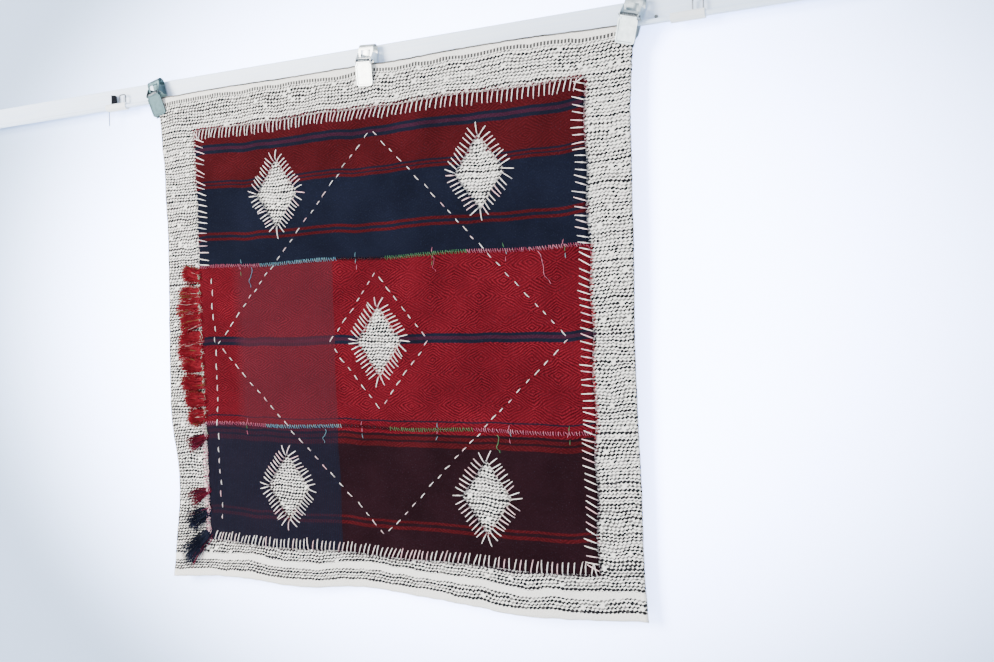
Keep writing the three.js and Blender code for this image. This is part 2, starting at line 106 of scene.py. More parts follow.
def room_paint(name, shades, lift, glow, centre, squeeze):
    """Matt paint, washed out by the exposure about a centre: a painted pool of light, painted
    darker away from the centre, that glows by the given glow.
    """
    paint = blank(name)
    place = add(paint, "TexCoord", {})
    off = add(paint, "VectorMath", "SUBTRACT", place.outputs["Object"], centre)
    drawn_in = add(paint, "VectorMath", "MULTIPLY", off, (squeeze, 1, 1))
    away = add(paint, "VectorMath", "LENGTH", drawn_in)
    near, far = 0.28, 0.76
    painted_light_pool = add(paint, "MapRange", {"interpolation_type": "SMOOTHSTEP"}, away.outputs["Value"],
               near, far, 1, 0)
    tint = add(paint, "ValToRGB", {"stops": list(enumerate(shades))}, painted_light_pool)
    strength = add(paint, "MapRange", {}, painted_light_pool, 0, 1, 0, glow)
    answer = add(paint, "MapRange", {}, painted_light_pool, 0, 1, 1, lift)
    bright = add(paint, "VectorMath", {"operation": "SCALE", "Scale": answer}, tint)
    lit = add(paint, "AddShader", {}, add(paint, "BsdfDiffuse", {"Color": bright}),
              add(paint, "Emission", {"Color": tint, "Strength": strength}))
    # What the room throws back on the cloth is plain paint with a painted glow, without the
    # washed-out lift.
    thrown = add(paint, "AddShader", {}, add(paint, "BsdfDiffuse", {"Color": "#e6ecf4"}),
                 add(paint, "Emission", {"Color": "#f6f8ff", "Strength": 0.6 * glow}))
    path = add(paint, "LightPath", {})
    seen = add(paint, "MixShader", {}, path.outputs["Is Camera Ray"], thrown, lit)
    side = add(paint, "NewGeometry", {})
    both = add(paint, "MixShader", {}, side.outputs["Backfacing"], seen,
               add(paint, "BsdfTransparent", {}))
    add(paint, "OutputMaterial", {"Surface": both})
    return paint


def room_plane(name, width, height, turn, place, material):
    """A flat part of the room whose face looks along the turned +Z."""
    bm = bmesh.new()
    bmesh.ops.create_grid(bm, x_segments=1, y_segments=1, size=0.5)
    bmesh.ops.scale(bm, vec=(width, height, 1), verts=bm.verts)
    bmesh.ops.rotate(bm, matrix=turn, verts=bm.verts)
    bmesh.ops.translate(bm, vec=place, verts=bm.verts)
    mesh = bpy.data.meshes.new(name)
    bm.to_mesh(mesh)
    bm.free()
    plane = bpy.data.objects.new(name, mesh)
    bpy.context.scene.collection.objects.link(plane)
    mesh.materials.append(material)


FACING_OUT = Matrix.Rotation(math.radians(90), 3, "X")
room_plane("wall", 9, 5, FACING_OUT, (0, 0.002, 0), room_paint(
    "emulsion_wall", ("#9fb3cf", "#c4d0ff"), lift=5.0, glow=1.3, centre=(0.08, 0, -0.36),
    squeeze=0.74))
room_plane("floor", 9, 6, Matrix.Identity(3), (0, -2.9, -1.3), room_paint(
    "matt_floor", ("#c6ccd3", "#d9dee3"), lift=1, glow=0, centre=(0, -0.6, -1.3), squeeze=0.3))


# Light. Soft daylight from a wide window at the left and a weaker fill from the right, and what a
# white room throws back from all sides.
def window(name, place, aim, width, height, power, tint):
    """A soft light at a place, as big as a window, that looks at its aim."""
    light = bpy.data.lights.new(name, "AREA")
    light.shape = "RECTANGLE"
    light.size = width
    light.size_y = height
    light.energy = power
    light.color = colour(tint)[:3]
    lamp = bpy.data.objects.new(name, light)
    bpy.context.scene.collection.objects.link(lamp)
    lamp.location = place
    lamp.rotation_euler = (Vector(aim) - Vector(place)).to_track_quat("-Z", "Y").to_euler()


window("window_left", place=(-1.7, -2.3, 0.35), aim=(0.05, 0, -0.4), width=1.3, height=1.7,
       power=240, tint="#fff8f0")
window("window_right", place=(2.1, -2.1, 0.9), aim=(0, 0, -0.4), width=1.6, height=1.2,
       power=31, tint="#eaf1ff")
world = bpy.data.worlds.new("room_light")
world.use_nodes = True
world.node_tree.nodes["Background"].inputs["Color"].default_value = colour("#e6edf8")
world.node_tree.nodes["Background"].inputs["Strength"].default_value = 1.35
bpy.context.scene.world = world

# Rail. A planed softwood batten with white satin paint, screwed to the wall, and a round rod in
# the same paint in front of its lower edge. Brushed paint leaves faint streaks along both.
def coat(material, *names):
    """Gives CAD nodes their finish."""
    for name in names:
        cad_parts[name].data.materials.clear()
        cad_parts[name].data.materials.append(material)


paint = blank("satin_paint_on_wood")
place = add(paint, "TexCoord", {})
# The brush's streaks are about 110 mm long and 2.4 mm wide.
drawn_out = add(paint, "Mapping", {"Scale": (9, 420, 420)}, place.outputs["Object"])
streaks = add(paint, "TexNoise", {"Scale": 1, "Detail": 3, "Roughness": 0.6}, drawn_out)
shader = add(paint, "BsdfPrincipled", {
    "Roughness": 0.4, "IOR": 1.5, "Coat Weight": 0.8, "Coat Roughness": 0.4,
    "Base Color": add(paint, "ValToRGB", {"stops": [(0.3, "#d2e5ff"), (0.7, "#deedff")]}, streaks),
    "Normal": add(paint, "Bump", {"Strength": 0.25, "Distance": 0.0003, "Height": streaks})})
add(paint, "OutputMaterial", {"Surface": shader})
coat(paint, "rail_batten", "rail_rod")

# Rod holders. White moulded sleeves that the rod runs through, in polypropylene: a soft gloss
# over a very fine spark-eroded grain.
MM = 0.001


def grained(name, size, detail):
    """A blank material and a noise in it whose grains are of a size in millimetres."""
    material = blank(name)
    place = add(material, "TexCoord", {})
    return material, add(material, "TexNoise", {"Scale": 1 / (size * MM), "Detail": detail},
                         place.outputs["Object"])


sleeve, grain = grained("moulded_polypropylene", size=0.4, detail=2)
shader = add(sleeve, "BsdfPrincipled", {
    "Base Color": "#e2e7ea", "IOR": 1.49, "Roughness": 0.33,
    "Normal": add(sleeve, "Bump", {"Strength": 0.2, "Distance": 0.0001, "Height": grain})})
add(sleeve, "OutputMaterial", {"Surface": shader})
coat(sleeve, "rail_holder_left", "rail_holder_right")

# Tab. A small block of black ABS clipped on the left holder. It was moulded matt, so it hardly
# shines, and it is scuffed grey here and there.
tab, scuffs = grained("black_abs", size=3.85, detail=4)
shader = add(tab, "BsdfPrincipled", {
    "IOR": 1.53, "Roughness": 0.9, "Specular IOR Level": 0.05,
    "Base Color": add(tab, "ValToRGB", {"stops": [(0.45, "#0c0e13"), (0.8, "#1d2028")]}, scuffs)})
add(tab, "OutputMaterial", {"Surface": shader})
coat(tab, "rail_tab")

# Screw, wire loops and drop wire. Bright drawn steel wire bent cold, whose gloss is blurred by
# the fine lines of drawing, and blackened steel, worn bright in places.
wire, drawing = grained("drawn_steel_wire", size=0.556, detail=2)
shader = add(wire, "BsdfPrincipled", {
    "Metallic": 1, "Base Color": "#70757d",
    "Roughness": add(wire, "MapRange", {}, drawing, 0.3, 0.7, 0.24, 0.42)})
add(wire, "OutputMaterial", {"Surface": shader})
coat(wire, "rail_loop_left", "rail_loop_right")
dark_steel, wear = grained("blackened_steel", size=1.11, detail=3)
worn = add(dark_steel, "ValToRGB", {"stops": [(0.4, "#3a3f44"), (0.7, "#7b8286")]}, wear)
shader = add(dark_steel, "BsdfPrincipled", {
    "Metallic": 1, "Roughness": 0.45, "Base Color": worn})
add(dark_steel, "OutputMaterial", {"Surface": shader})
coat(dark_steel, "rail_drop_wire", "rail_screw")


# Clips. Each is a strap of zinc-plated spring steel bent over the rod, with two ears that carry
# a hinge pin, and a flat jaw on the pin that presses the cloth on the strap's pad.
def zinc_plate(name, shaded_tone, bright, crown):
    """Cloudy, greenish zinc plating; its tones per clip are painted shade and painted reflection.
    """
    zinc, cloud = grained(name, size=8.33, detail=5)
    shade = add(zinc, "ValToRGB", {"stops": [(0.35, shaded_tone), (0.65, bright)]}, cloud)
    # Over the crown, where the strap was bent, the colour is scaled: a painted highlight on the
    # left clip and a painted shade on the others.
    height = add(zinc, "SeparateXYZ", {}, add(zinc, "TexCoord", {}).outputs["Object"])
    crown_light_and_shade = add(zinc, "MapRange", {"interpolation_type": "SMOOTHSTEP"}, height.outputs["Z"], 0.006,
               0.013, 1, crown)
    shader = add(zinc, "BsdfPrincipled", {
        "Metallic": 1, "Roughness": add(zinc, "MapRange", {}, cloud, 0.3, 0.7, 0.32, 0.5),
        "Base Color": add(zinc, "VectorMath", {"operation": "SCALE", "Scale": crown_light_and_shade}, shade)})
    add(zinc, "OutputMaterial", {"Surface": shader})
    return zinc


ROD_TOP = -12.7
PIN_OUT, PIN_Z = 28, -11


def finished_piece(name, bm, material, nodes=()):
    """Turns a mesh in millimetres into a piece at the origin that rides on the row's body."""
    bmesh.ops.scale(bm, vec=(MM, MM, MM), verts=bm.verts)
    mesh = bpy.data.meshes.new(name)
    bm.to_mesh(mesh)
    bm.free()
    piece = bpy.data.objects.new(name, mesh)
    bpy.context.scene.collection.objects.link(piece)
    mesh.materials.append(material)
    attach(piece, "root")
    if nodes:
        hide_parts(*nodes)
    return piece


def rounded(piece, width, segments=2):
    """A small even round on the sharp edges of a piece."""
    bevel = piece.modifiers.new("rounds", "BEVEL")
    bevel.width = width * MM
    bevel.segments = segments
    bevel.limit_method = "ANGLE"
    bevel.angle_limit = math.radians(40)
    bevel.harden_normals = True


def smooth(bm, angle=20):
    """Smooth shading, with creases kept sharp."""
    for face in bm.faces:
        face.smooth = True
    for edge in bm.edges:
        edge.smooth = edge.calc_face_angle(0) < math.radians(angle)


def bent_strap():
    """The strap's sheet: one line of bends drawn sideways, with a slot in the front flange."""
    bm = bmesh.new()
    pad, back, radius, crown = 19, 11.7, 5.7, 8
    half_width, slot_half_width = 12, 7.5
    line = [(pad - 0.6, -46), (pad, -44.5), (pad, -38), (pad - 1, -36), (back + 0.8, -30.6),
            (back, -28.6), (back, crown)]
    middle = back + radius
    for step in range(1, 13):
        angle = math.pi * (1 - step / 12)
        line.append((middle + radius * math.cos(angle), crown + radius * math.sin(angle)))
    line += [(middle + radius + 0.2, 5), (middle + radius + 0.7, -4.5), (25.4, -7.2)]
    chain = [bm.verts.new((-half_width, -out, z)) for out, z in line]
    edges = [bm.edges.new(pair) for pair in zip(chain, chain[1:])]
    beside = half_width - slot_half_width
    for reach in (beside, 2 * slot_half_width, beside):
        step = bmesh.ops.extrude_edge_only(bm, edges=edges)["geom"]
        moved = [v for v in step if isinstance(v, bmesh.types.BMVert)]
        bmesh.ops.translate(bm, vec=(reach, 0, 0), verts=moved)
        edges = [e for e in step if isinstance(e, bmesh.types.BMEdge)
                 and e.verts[0] in moved and e.verts[1] in moved]
    slot = [f for f in bm.faces if abs(f.calc_center_median().x) < slot_half_width
            and f.calc_center_median().y < -21 and -4.5 < f.calc_center_median().z < 5]
    bmesh.ops.delete(bm, geom=slot, context="FACES")
    bmesh.ops.recalc_face_normals(bm, faces=bm.faces)
    bmesh.ops.solidify(bm, geom=bm.faces, thickness=0.5)
    return bm


def plate(corners, across):
    """A flat plate: a face on its corners, drawn across its thickness."""
    bm = bmesh.new()
    face = bm.faces.new([bm.verts.new(corner) for corner in corners])
    grown = bmesh.ops.extrude_face_region(bm, geom=[face])["geom"]
    bmesh.ops.translate(bm, vec=across,
                        verts=[v for v in grown if isinstance(v, bmesh.types.BMVert)])
    bmesh.ops.recalc_face_normals(bm, faces=bm.faces)
    return bm


EAR_OUTLINE = [(12.2, -12.4), (18.9, -12.4), (22.4, -9.6), (24.6, -9.8), (25.2, -13.2),
               (27, -14), (29.4, -13.7), (30.9, -12), (31, -10), (29.6, -8.3), (24.4, 1.6),
               (22.8, 2), (12.2, 2)]


def ear(x, thick=1):
    """One of the two ears that stand out from the strap's sides."""
    return plate([(x - thick / 2, -out, z) for out, z in EAR_OUTLINE], (thick, 0, 0))


def joined(parts):
    """One mesh from several."""
    whole = bmesh.new()
    for part in parts:
        mesh = bpy.data.meshes.new("part")
        part.to_mesh(mesh)
        part.free()
        whole.from_mesh(mesh)
        bpy.data.meshes.remove(mesh)
    return whole


def bar(radius, length, sides):
    """A round bar along x on the line of the hinge pin."""
    bm = bmesh.new()
    bmesh.ops.create_cone(bm, cap_ends=True, segments=sides, radius1=radius, radius2=radius,
                          depth=length)
    bmesh.ops.rotate(bm, matrix=Matrix.Rotation(math.radians(90), 3, "Y"), verts=bm.verts)
    bmesh.ops.translate(bm, vec=(0, -PIN_OUT, PIN_Z), verts=bm.verts)
    return bm


def jaw_plate():
    """The flat jaw with rounded lower corners and a shallow pressed panel."""
    top_out, top_z, tip_out, tip_z = 29.6, -12.2, 22.9, -45
    half_width, neck, corner, thick = 13, 11, 4.5, 1.1
    length = math.hypot(top_out - tip_out, top_z - tip_z)
    outline = [(-neck, 0), (-neck, -3.2), (-half_width, -4.4)]
    for middle, start in ((corner - half_width, 180), (half_width - corner, 270)):
        for step in range(7):
            angle = math.radians(start + 15 * step)
            outline.append((middle + corner * math.cos(angle),
                            -length + corner + corner * math.sin(angle)))
    outline += [(half_width, -4.4), (neck, -3.2), (neck, 0)]
    bm = plate([(x, -thick / 2, z) for x, z in outline], (0, thick, 0))
    front = min(bm.faces, key=lambda f: f.calc_center_median().y)
    bmesh.ops.inset_individual(bm, faces=[front], thickness=2.2)
    bmesh.ops.inset_individual(bm, faces=[front], thickness=0.8, depth=-0.35)
    slant = math.atan2(top_out - tip_out, top_z - tip_z)
    bmesh.ops.rotate(bm, matrix=Matrix.Rotation(slant, 3, "X"), verts=bm.verts)
    bmesh.ops.translate(bm, vec=(0, -top_out, top_z), verts=bm.verts)
    return bm


def spring(side):
    """Three turns of spring wire on the pin, inside one ear."""
    turns, steps, pitch, wire_radius, coil_radius, start = 3, 54, 0.99, 0.45, 2.15, 8.4
    bm = bmesh.new()
    bmesh.ops.create_circle(bm, cap_ends=False, segments=6, radius=wire_radius)
    bmesh.ops.rotate(bm, matrix=Matrix.Rotation(math.radians(90), 3, "X"), verts=bm.verts)
    bmesh.ops.translate(bm, vec=(0, 0, coil_radius), verts=bm.verts)
    bmesh.ops.spin(bm, geom=bm.verts[:] + bm.edges[:], cent=(0, 0, 0), axis=(1, 0, 0),
                   dvec=(side * pitch * turns / steps, 0, 0), angle=turns * math.tau,
                   steps=steps, use_duplicate=False)
    bmesh.ops.translate(bm, vec=(side * start, -PIN_OUT, PIN_Z), verts=bm.verts)
    bmesh.ops.recalc_face_normals(bm, faces=bm.faces)
    return bm


# Each clip has its own copy of the plating. Its dark and light tones are painted shade and painted
# reflection, and its crown factor a painted highlight or a painted shade.
for name, middle, lean, shaded_tone, bright, crown in (
        ("clip_left", -391, 13, "#2f3e42", "#405459", 2.6),
        ("clip_middle", -1, -4, "#cdd6d6", "#eef2f2", 0.7),
        ("clip_right", 384, -16, "#b0bfc4", "#d0dbe0", 0.7)):
    zinc = zinc_plate(f"zinc_plated_spring_steel_{name}", shaded_tone, bright, crown)
    lift = -ROD_TOP * math.sin(math.radians(abs(lean)))
    leaning = (Matrix.Translation((middle, 0, ROD_TOP + lift))
               @ Matrix.Rotation(-math.radians(lean), 4, "Y")
               @ Matrix.Translation((0, 0, -ROD_TOP)))
    strap = joined([bent_strap(), ear(-12.2), ear(12.2)])
    # The jaw's barrel takes the blackened steel, a dark bar across the clip that is partly painted
    # shade.
    barrel = bar(radius=2.7, length=16, sides=20)
    for face in barrel.faces:
        face.material_index = 1
    jaw = joined([jaw_plate(), barrel])
    pin = joined([bar(radius=1.4, length=28.4, sides=16), spring(-1), spring(1)])
    for part, bm, material, slot in (("strap", strap, zinc, "clip_steel"),
                                     ("jaw", jaw, zinc, "clip_steel"),
                                     ("pin", pin, dark_steel, "screw_steel")):
        bmesh.ops.transform(bm, matrix=leaning, verts=bm.verts)
        smooth(bm)
        piece = finished_piece(f"{name}_{part}_steel", bm, material, [f"{name}_{part}"])
        if part == "jaw":
            piece.data.materials.append(dark_steel)
        if part != "pin":
            rounded(piece, 0.25)

# How the cloth hangs. The ground cloth's front lies on the solid's folds, read off that solid
# and eased between its facets, and everything sewn on it lies at a height over that surface.
CELL = 6.0
LEFT, TOP = -408, 0
COLUMNS, ROWS = 137, 131
MIDDLE_Z = -390
solid = bmesh.new()
solid.from_mesh(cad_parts["ground_cloth"].data)
tree = BVHTree.FromBMesh(solid)
solid.free()


def solid_front(x, z):
    """The depth of the solid's front face at a place, or at the nearest place that it covers."""
    for step in range(20):
        inward = step * 0.0075
        start = Vector((x * (1 - inward) * MM, -1, (z + (MIDDLE_Z - z) * inward) * MM))
        hit = tree.ray_cast(start, Vector((0, 1, 0)))[0]
        if hit:
            return hit.y / MM
    raise ValueError((x, z))


fronts = [[solid_front(LEFT + CELL * i, TOP - CELL * k) for i in range(COLUMNS)]
          for k in range(ROWS)]
for _ in range(6):
    fronts = [[(fronts[k][i] * 2 + fronts[max(k - 1, 0)][i] + fronts[min(k + 1, ROWS - 1)][i]
                + fronts[k][max(i - 1, 0)] + fronts[k][min(i + 1, COLUMNS - 1)]) / 6
               for i in range(COLUMNS)] for k in range(ROWS)]

# Soft creases and pulls in the hanging cloth: place, direction in degrees, half length, half
# width, and how far each stands out.
CREASES = [
    (-372, -150, 78, 60, 7, 1.6), (-356, -280, 86, 90, 8, -1.4), (-366, -470, 95, 70, 7, 1.8),
    (-352, -640, 84, 60, 8, -1.4), (352, -250, 92, 110, 7, 1.5), (366, -470, 88, 80, 6, -1.2),
    (350, -640, 96, 70, 8, 1.6), (-240, -740, 84, 34, 9, 1.6), (-60, -738, 92, 34, 10, -1.4),
    (140, -742, 86, 36, 9, 1.5), (290, -738, 96, 34, 9, -1.5), (-190, -44, 82, 34, 10, 1.0),
    (180, -42, 98, 34, 10, 1.0), (-200, -250, 35, 120, 14, 1.2), (60, -330, 160, 150, 16, 1.2),
    (210, -420, 60, 120, 14, -1.2), (-80, -560, 20, 150, 14, 1.2), (230, -650, 150, 90, 12, 1.0),
]


def cloth_front(x, z):
    """Depth of the ground cloth's front face, in millimetres from the wall plane."""
    a = min(max((x - LEFT) / CELL, 0), COLUMNS - 1.001)
    b = min(max((TOP - z) / CELL, 0), ROWS - 1.001)
    i, k = int(a), int(b)
    a, b = a - i, b - k
    y = ((fronts[k][i] * (1 - a) + fronts[k][i + 1] * a) * (1 - b)
         + (fronts[k + 1][i] * (1 - a) + fronts[k + 1][i + 1] * a) * b)
    # The clips hold the cloth flat down to 40 mm, and from 100 mm down it is free to fold.
    free = min(1, max(0, (-z - 40) / 60))
    for cx, cz, turn, half_length, half_width, push in CREASES:
        cosine, sine = math.cos(math.radians(turn)), math.sin(math.radians(turn))
        along = (x - cx) * cosine + (z - cz) * sine
        across = (z - cz) * cosine - (x - cx) * sine
        y -= push * free * math.exp(-(along / half_length) ** 2 - (across / half_width) ** 2)
    rumple = noise.noise(Vector((x / 34, z / 46, 1.5))) + 0.5 * noise.noise(
        Vector((x / 15, z / 19, 7)))
    return y - 0.7 * free * rumple


def through(points, t):
    """A smooth value at t on (place, value) points in rising order of place."""
    k = max(i for i in range(len(points) - 1) if t >= points[i][0] or i == 0)
    (t0, v0), (t1, v1) = points[k], points[k + 1]
    before, after = points[max(k - 1, 0)], points[min(k + 2, len(points) - 1)]
    reach = t1 - t0
    slope0 = (v1 - before[1]) / (t1 - before[0])
    slope1 = (after[1] - v0) / (after[0] - t0)
    s = (t - t0) / reach
    return ((2 * s ** 3 - 3 * s ** 2 + 1) * v0 + (s ** 3 - 2 * s ** 2 + s) * reach * slope0
            + (3 * s ** 2 - 2 * s ** 3) * v1 + (s ** 3 - s ** 2) * reach * slope1)


def between_edges(edge, u, v):
    """A place on a cloth, u across and v down, whose four edges are curves of one parameter."""
    above, below, left, right = edge("top", u), edge("bottom", u), edge("left", v), edge("right", v)
    corners = [edge("top", 0), edge("top", 1), edge("bottom", 0), edge("bottom", 1)]
    shares = [(1 - u) * (1 - v), u * (1 - v), (1 - u) * v, u * v]
    return [above[i] * (1 - v) + below[i] * v + left[i] * (1 - u) + right[i] * u
            - sum(corner[i] * share for corner, share in zip(corners, shares)) for i in (0, 1)]


def woven_sheet(columns, rows):
    """A flat grid with a UV map, whose u and v run 0 to 1 from the upper left corner."""
    bm = bmesh.new()
    bm.loops.layers.uv.new("weave")
    bmesh.ops.create_grid(bm, x_segments=columns, y_segments=rows, size=0.5, calc_uvs=True)
    uv = bm.loops.layers.uv["weave"]
    for face in bm.faces:
        for loop in face.loops:
            loop[uv].uv = (loop.vert.co.x + 0.5, 0.5 - loop.vert.co.y)
    return bm


def cloth_piece(name, bm, thick, material, node):
    """A sheet as a piece: its faces turned to the room, and its thickness behind them."""
    bmesh.ops.recalc_face_normals(bm, faces=bm.faces)
    if sum(face.normal.y for face in bm.faces) > 0:
        bmesh.ops.reverse_faces(bm, faces=bm.faces)
    for face in bm.faces:
        face.smooth = True
    piece = finished_piece(name, bm, material, [node])
    body = piece.modifiers.new("cloth_thickness", "SOLIDIFY")
    body.thickness = thick * MM
    return piece


# Ground cloth. Hand-woven cotton in plain weave with rows of a thick black weft that floats over
# three warps and under two, so each row is a line of slanting dashes; turned and sewn hems.
GROUND = {"width": 765, "height": 752, "thick": 2}
# Each edge has where it starts, how far it runs, how rough it is, and places along it.
GROUND_EDGES = {
    "top": (-388, 776, 1, [
        (-388, -14), (-260, -12.5), (-136, -13.5), (-20, -13), (50, -14), (124, -12), (233, -11.5),
        (350, -14.5), (388, -14)]),
    "bottom": (-390, 775, 1.6, [
        (-390, -769), (-254, -761), (-137, -764), (-43, -756), (57, -759), (140, -763), (204, -768),
        (297, -766), (385, -760)]),
    "right": (14, 746, 1, [
        (14, 388), (85, 382), (140, 380), (310, 379), (425, 377), (595, 380), (700, 381),
        (760, 385)]),
    "left": (14, 755, 1, [
        (14, -388), (130, -380), (255, -378), (400, -383), (515, -384), (600, -374), (650, -375),
        (705, -382), (769, -390)])}


def ground_edge(side, share):
    """A place on a hand-woven edge, which wanders a little from even."""
    start, run, roughness, places = GROUND_EDGES[side]
    along, seed = start + run * share, list(GROUND_EDGES).index(side) + 1
    wander = 0.9 * noise.noise(Vector((along / 21, seed, 0))) + 0.5 * noise.noise(
        Vector((along / 7, seed, 3)))
    off = through(places, along) + roughness * wander
    return (along, off) if side in ("top", "bottom") else (off, -along)


bm = woven_sheet(170, 166)
for vert in bm.verts:
    x, z = between_edges(ground_edge, vert.co.x + 0.5, 0.5 - vert.co.y)
    vert.co = (x, cloth_front(x, z), z)

# Places on the sheet are in millimetres, so a noise's scale is one over the size of its grains.
cotton = blank("hand_woven_cotton")
uv = add(cotton, "UVMap", {"uv_map": "weave"})
spread = add(cotton, "VectorMath", "MULTIPLY", uv, (GROUND["width"], GROUND["height"], 0))
drift = add(cotton, "TexNoise", {"Scale": 0.02, "Detail": 2, "noise_dimensions": "2D"}, spread)
waver = add(cotton, "VectorMath", "MULTIPLY_ADD", drift.outputs["Color"], (0, 9, 0), spread)
place = add(cotton, "SeparateXYZ", {}, waver)
across, down = place.outputs["X"], place.outputs["Y"]
ROW_PITCH, DASH_PITCH, TICK_PITCH, WARP_PITCH, WEFT_PITCH = 4.55, 5.6, 4.7, 1.43, 1.1
rows_down = add(cotton, "Math", "DIVIDE", down, ROW_PITCH)
row = add(cotton, "Math", "FLOOR", rows_down)
in_row = add(cotton, "Math", "FRACT", rows_down)
row_luck = add(cotton, "TexWhiteNoise", {"noise_dimensions": "1D", "W": row})
row_shift = add(cotton, "Math", "MULTIPLY", row_luck.outputs["Color"], 3)
along = add(cotton, "Math", "DIVIDE", across, DASH_PITCH)
uneven = add(cotton, "TexNoise", {"Scale": 0.3, "Detail": 1, "noise_dimensions": "2D"}, spread)
astray = add(cotton, "SeparateColor", {}, uneven.outputs["Color"])
slid = add(cotton, "Math", "MULTIPLY_ADD", astray, 0.7,
           add(cotton, "Math", "ADD", along, row_shift))
dash = add(cotton, "Math", "FLOOR", add(cotton, "Math", "ADD", slid, 0.5))
cell = add(cotton, "CombineXYZ", {}, dash, row)
dash_luck = add(cotton, "TexWhiteNoise", {"noise_dimensions": "2D"}, cell)
# A float climbs to the right and swells, then dips back thin under the next warps. Every other
# row is bolder, and all are a little bolder lower down and to the left.
odd = add(cotton, "Math", "PINGPONG", row, 1)
weight = add(cotton, "Math", "MULTIPLY_ADD", odd, 0.42,
             add(cotton, "Math", "MULTIPLY_ADD", row_luck.outputs["Value"], 0.5, 0.2))
leftward = add(cotton, "Math", "MULTIPLY_ADD", across, -0.00036, weight)
weight = add(cotton, "Math", {"operation": "MULTIPLY_ADD", "use_clamp": True}, row, 0.002, leftward)
phase = add(cotton, "Math", "MULTIPLY", slid, math.tau)
swell = add(cotton, "Math", "MULTIPLY_ADD", add(cotton, "Math", "COSINE", phase), 0.5, 0.5)
swell = add(cotton, "Math", "POWER", swell, add(cotton, "Math", "MULTIPLY_ADD", weight, -0.6, 0.9))
sway = add(cotton, "Math", "MULTIPLY", add(cotton, "Math", "SINE", phase), 0.15)
stout = add(cotton, "Math", "MULTIPLY_ADD", weight, 0.2,
            add(cotton, "Math", "MULTIPLY_ADD", dash_luck.outputs["Value"], 0.12, 0.1))
half_across = add(cotton, "Math", "MULTIPLY_ADD", swell, stout, 0.145)
hop = add(cotton, "MapRange", {}, dash_luck.outputs["Color"], 0, 1, -0.58, -0.42)
jolt = add(cotton, "Math", "MULTIPLY_ADD", astray.outputs["Green"], 0.3, -0.15)
from_line = add(cotton, "Math", "ABSOLUTE",
                add(cotton, "Math", "ADD", add(cotton, "Math", "ADD", sway, jolt),
                    add(cotton, "Math", "ADD", in_row, hop)))
side_fade = add(cotton, "Math", {"operation": "DIVIDE", "use_clamp": True},
                add(cotton, "Math", "SUBTRACT", half_across, from_line), 0.08)
dips = add(cotton, "Math", "MULTIPLY_ADD", weight, 0.4, 0.5)
stroke = add(cotton, "Math", "MULTIPLY", side_fade,
             add(cotton, "Math", {"operation": "MULTIPLY_ADD", "use_clamp": True}, swell, 1.1,
                 dips))
by_row = add(cotton, "CombineXYZ", {}, add(cotton, "Math", "MULTIPLY", across, 0.022),
             add(cotton, "Math", "MULTIPLY", row, 2.7))
patches = add(cotton, "TexNoise", {"Scale": 1, "Detail": 2, "noise_dimensions": "2D"}, by_row)
patchy = add(cotton, "MapRange", {}, patches, 0.35, 0.65, 0.86, 1.15)
missing = add(cotton, "Math", "GREATER_THAN", dash_luck.outputs["Value"], 0.02)
dyed = add(cotton, "MapRange", {}, dash_luck.outputs["Color"], 0.3, 0.7, 0.85, 1.12)
inked = add(cotton, "Math", "MULTIPLY", dyed,
            add(cotton, "Math", "MULTIPLY_ADD", weight, 0.35, 0.85))
ink = add(cotton, "Math", {"operation": "MULTIPLY", "use_clamp": True},
          add(cotton, "Math", "MULTIPLY", stroke, inked),
          add(cotton, "Math", "MULTIPLY", missing, patchy))
# The lower hem and a band above it are plain cream.
height = GROUND["height"]
bands = add(cotton, "ValToRGB",
            {"interpolation": "CONSTANT",
             "stops": [(0, "#ffffff"), ((height - 34) / height, "#000000"),
                       ((height - 26) / height, "#ffffff"), ((height - 7) / height, "#000000")]},
            add(cotton, "Math", "DIVIDE", down, height))
below_hem = add(cotton, "Math", "GREATER_THAN", down, 4 * ROW_PITCH)
ink = add(cotton, "Math", "MULTIPLY", ink, add(cotton, "Math", "MULTIPLY", bands, below_hem))
# Under the hem one row is of short upright ticks, where the black weft goes round each warp pair.
from_ticks = add(cotton, "Math", "ABSOLUTE",
                 add(cotton, "Math", "SUBTRACT", down, 3.5 * ROW_PITCH))
tick_row = add(cotton, "Math", "LESS_THAN", from_ticks, 2.6)
upright = add(cotton, "MapRange", {},
              add(cotton, "Math", "COSINE",
                  add(cotton, "Math", "MULTIPLY", across, math.tau / TICK_PITCH)),
              -0.8, -0.3, 0, 0.95)
ink = add(cotton, "Math", "MAXIMUM", ink, add(cotton, "Math", "MULTIPLY", tick_row, upright))
# A thin dark line is painted along the top edge: a painted shadow of the gap under the rod.
from_top = add(cotton, "SeparateXYZ", {}, spread).outputs["Y"]
top_edge_shadow = add(cotton, "Math", "MULTIPLY", add(cotton, "Math", "LESS_THAN", from_top, 2.2),
           add(cotton, "Math", "MULTIPLY_ADD", patches, 0.5, 0.65))
ink = add(cotton, "Math", "MAXIMUM", ink, top_edge_shadow)
# Cream warps and the wefts between the black ones, drawn about half as close as they lie, or they
# would be too fine to show.
warp = add(cotton, "Math", "SINE", add(cotton, "Math", "MULTIPLY", across, math.tau / WARP_PITCH))
weft = add(cotton, "Math", "SINE", add(cotton, "Math", "MULTIPLY", down, math.tau / WEFT_PITCH))
threads = add(cotton, "Math", "MULTIPLY", warp, weft)
slubs = add(cotton, "TexNoise", {"Scale": 0.6, "Detail": 3, "noise_dimensions": "2D"}, spread)
cream = add(cotton, "ValToRGB", {"stops": [(0.3, "#e3dfd6"), (0.7, "#faf8f1")]}, slubs)
shaded = add(cotton, "MapRange", {}, threads, -1, 1, 0.84, 1.03)
cream = add(cotton, "VectorMath", "MULTIPLY", cream, shaded)
black = add(cotton, "Mix", {"data_type": "RGBA", 0: ink, 6: cream, 7: "#0f1013"})
relief = add(cotton, "Math", "ADD", add(cotton, "Math", "MULTIPLY", threads, 0.25),
             add(cotton, "Math", "ADD", stroke, slubs))
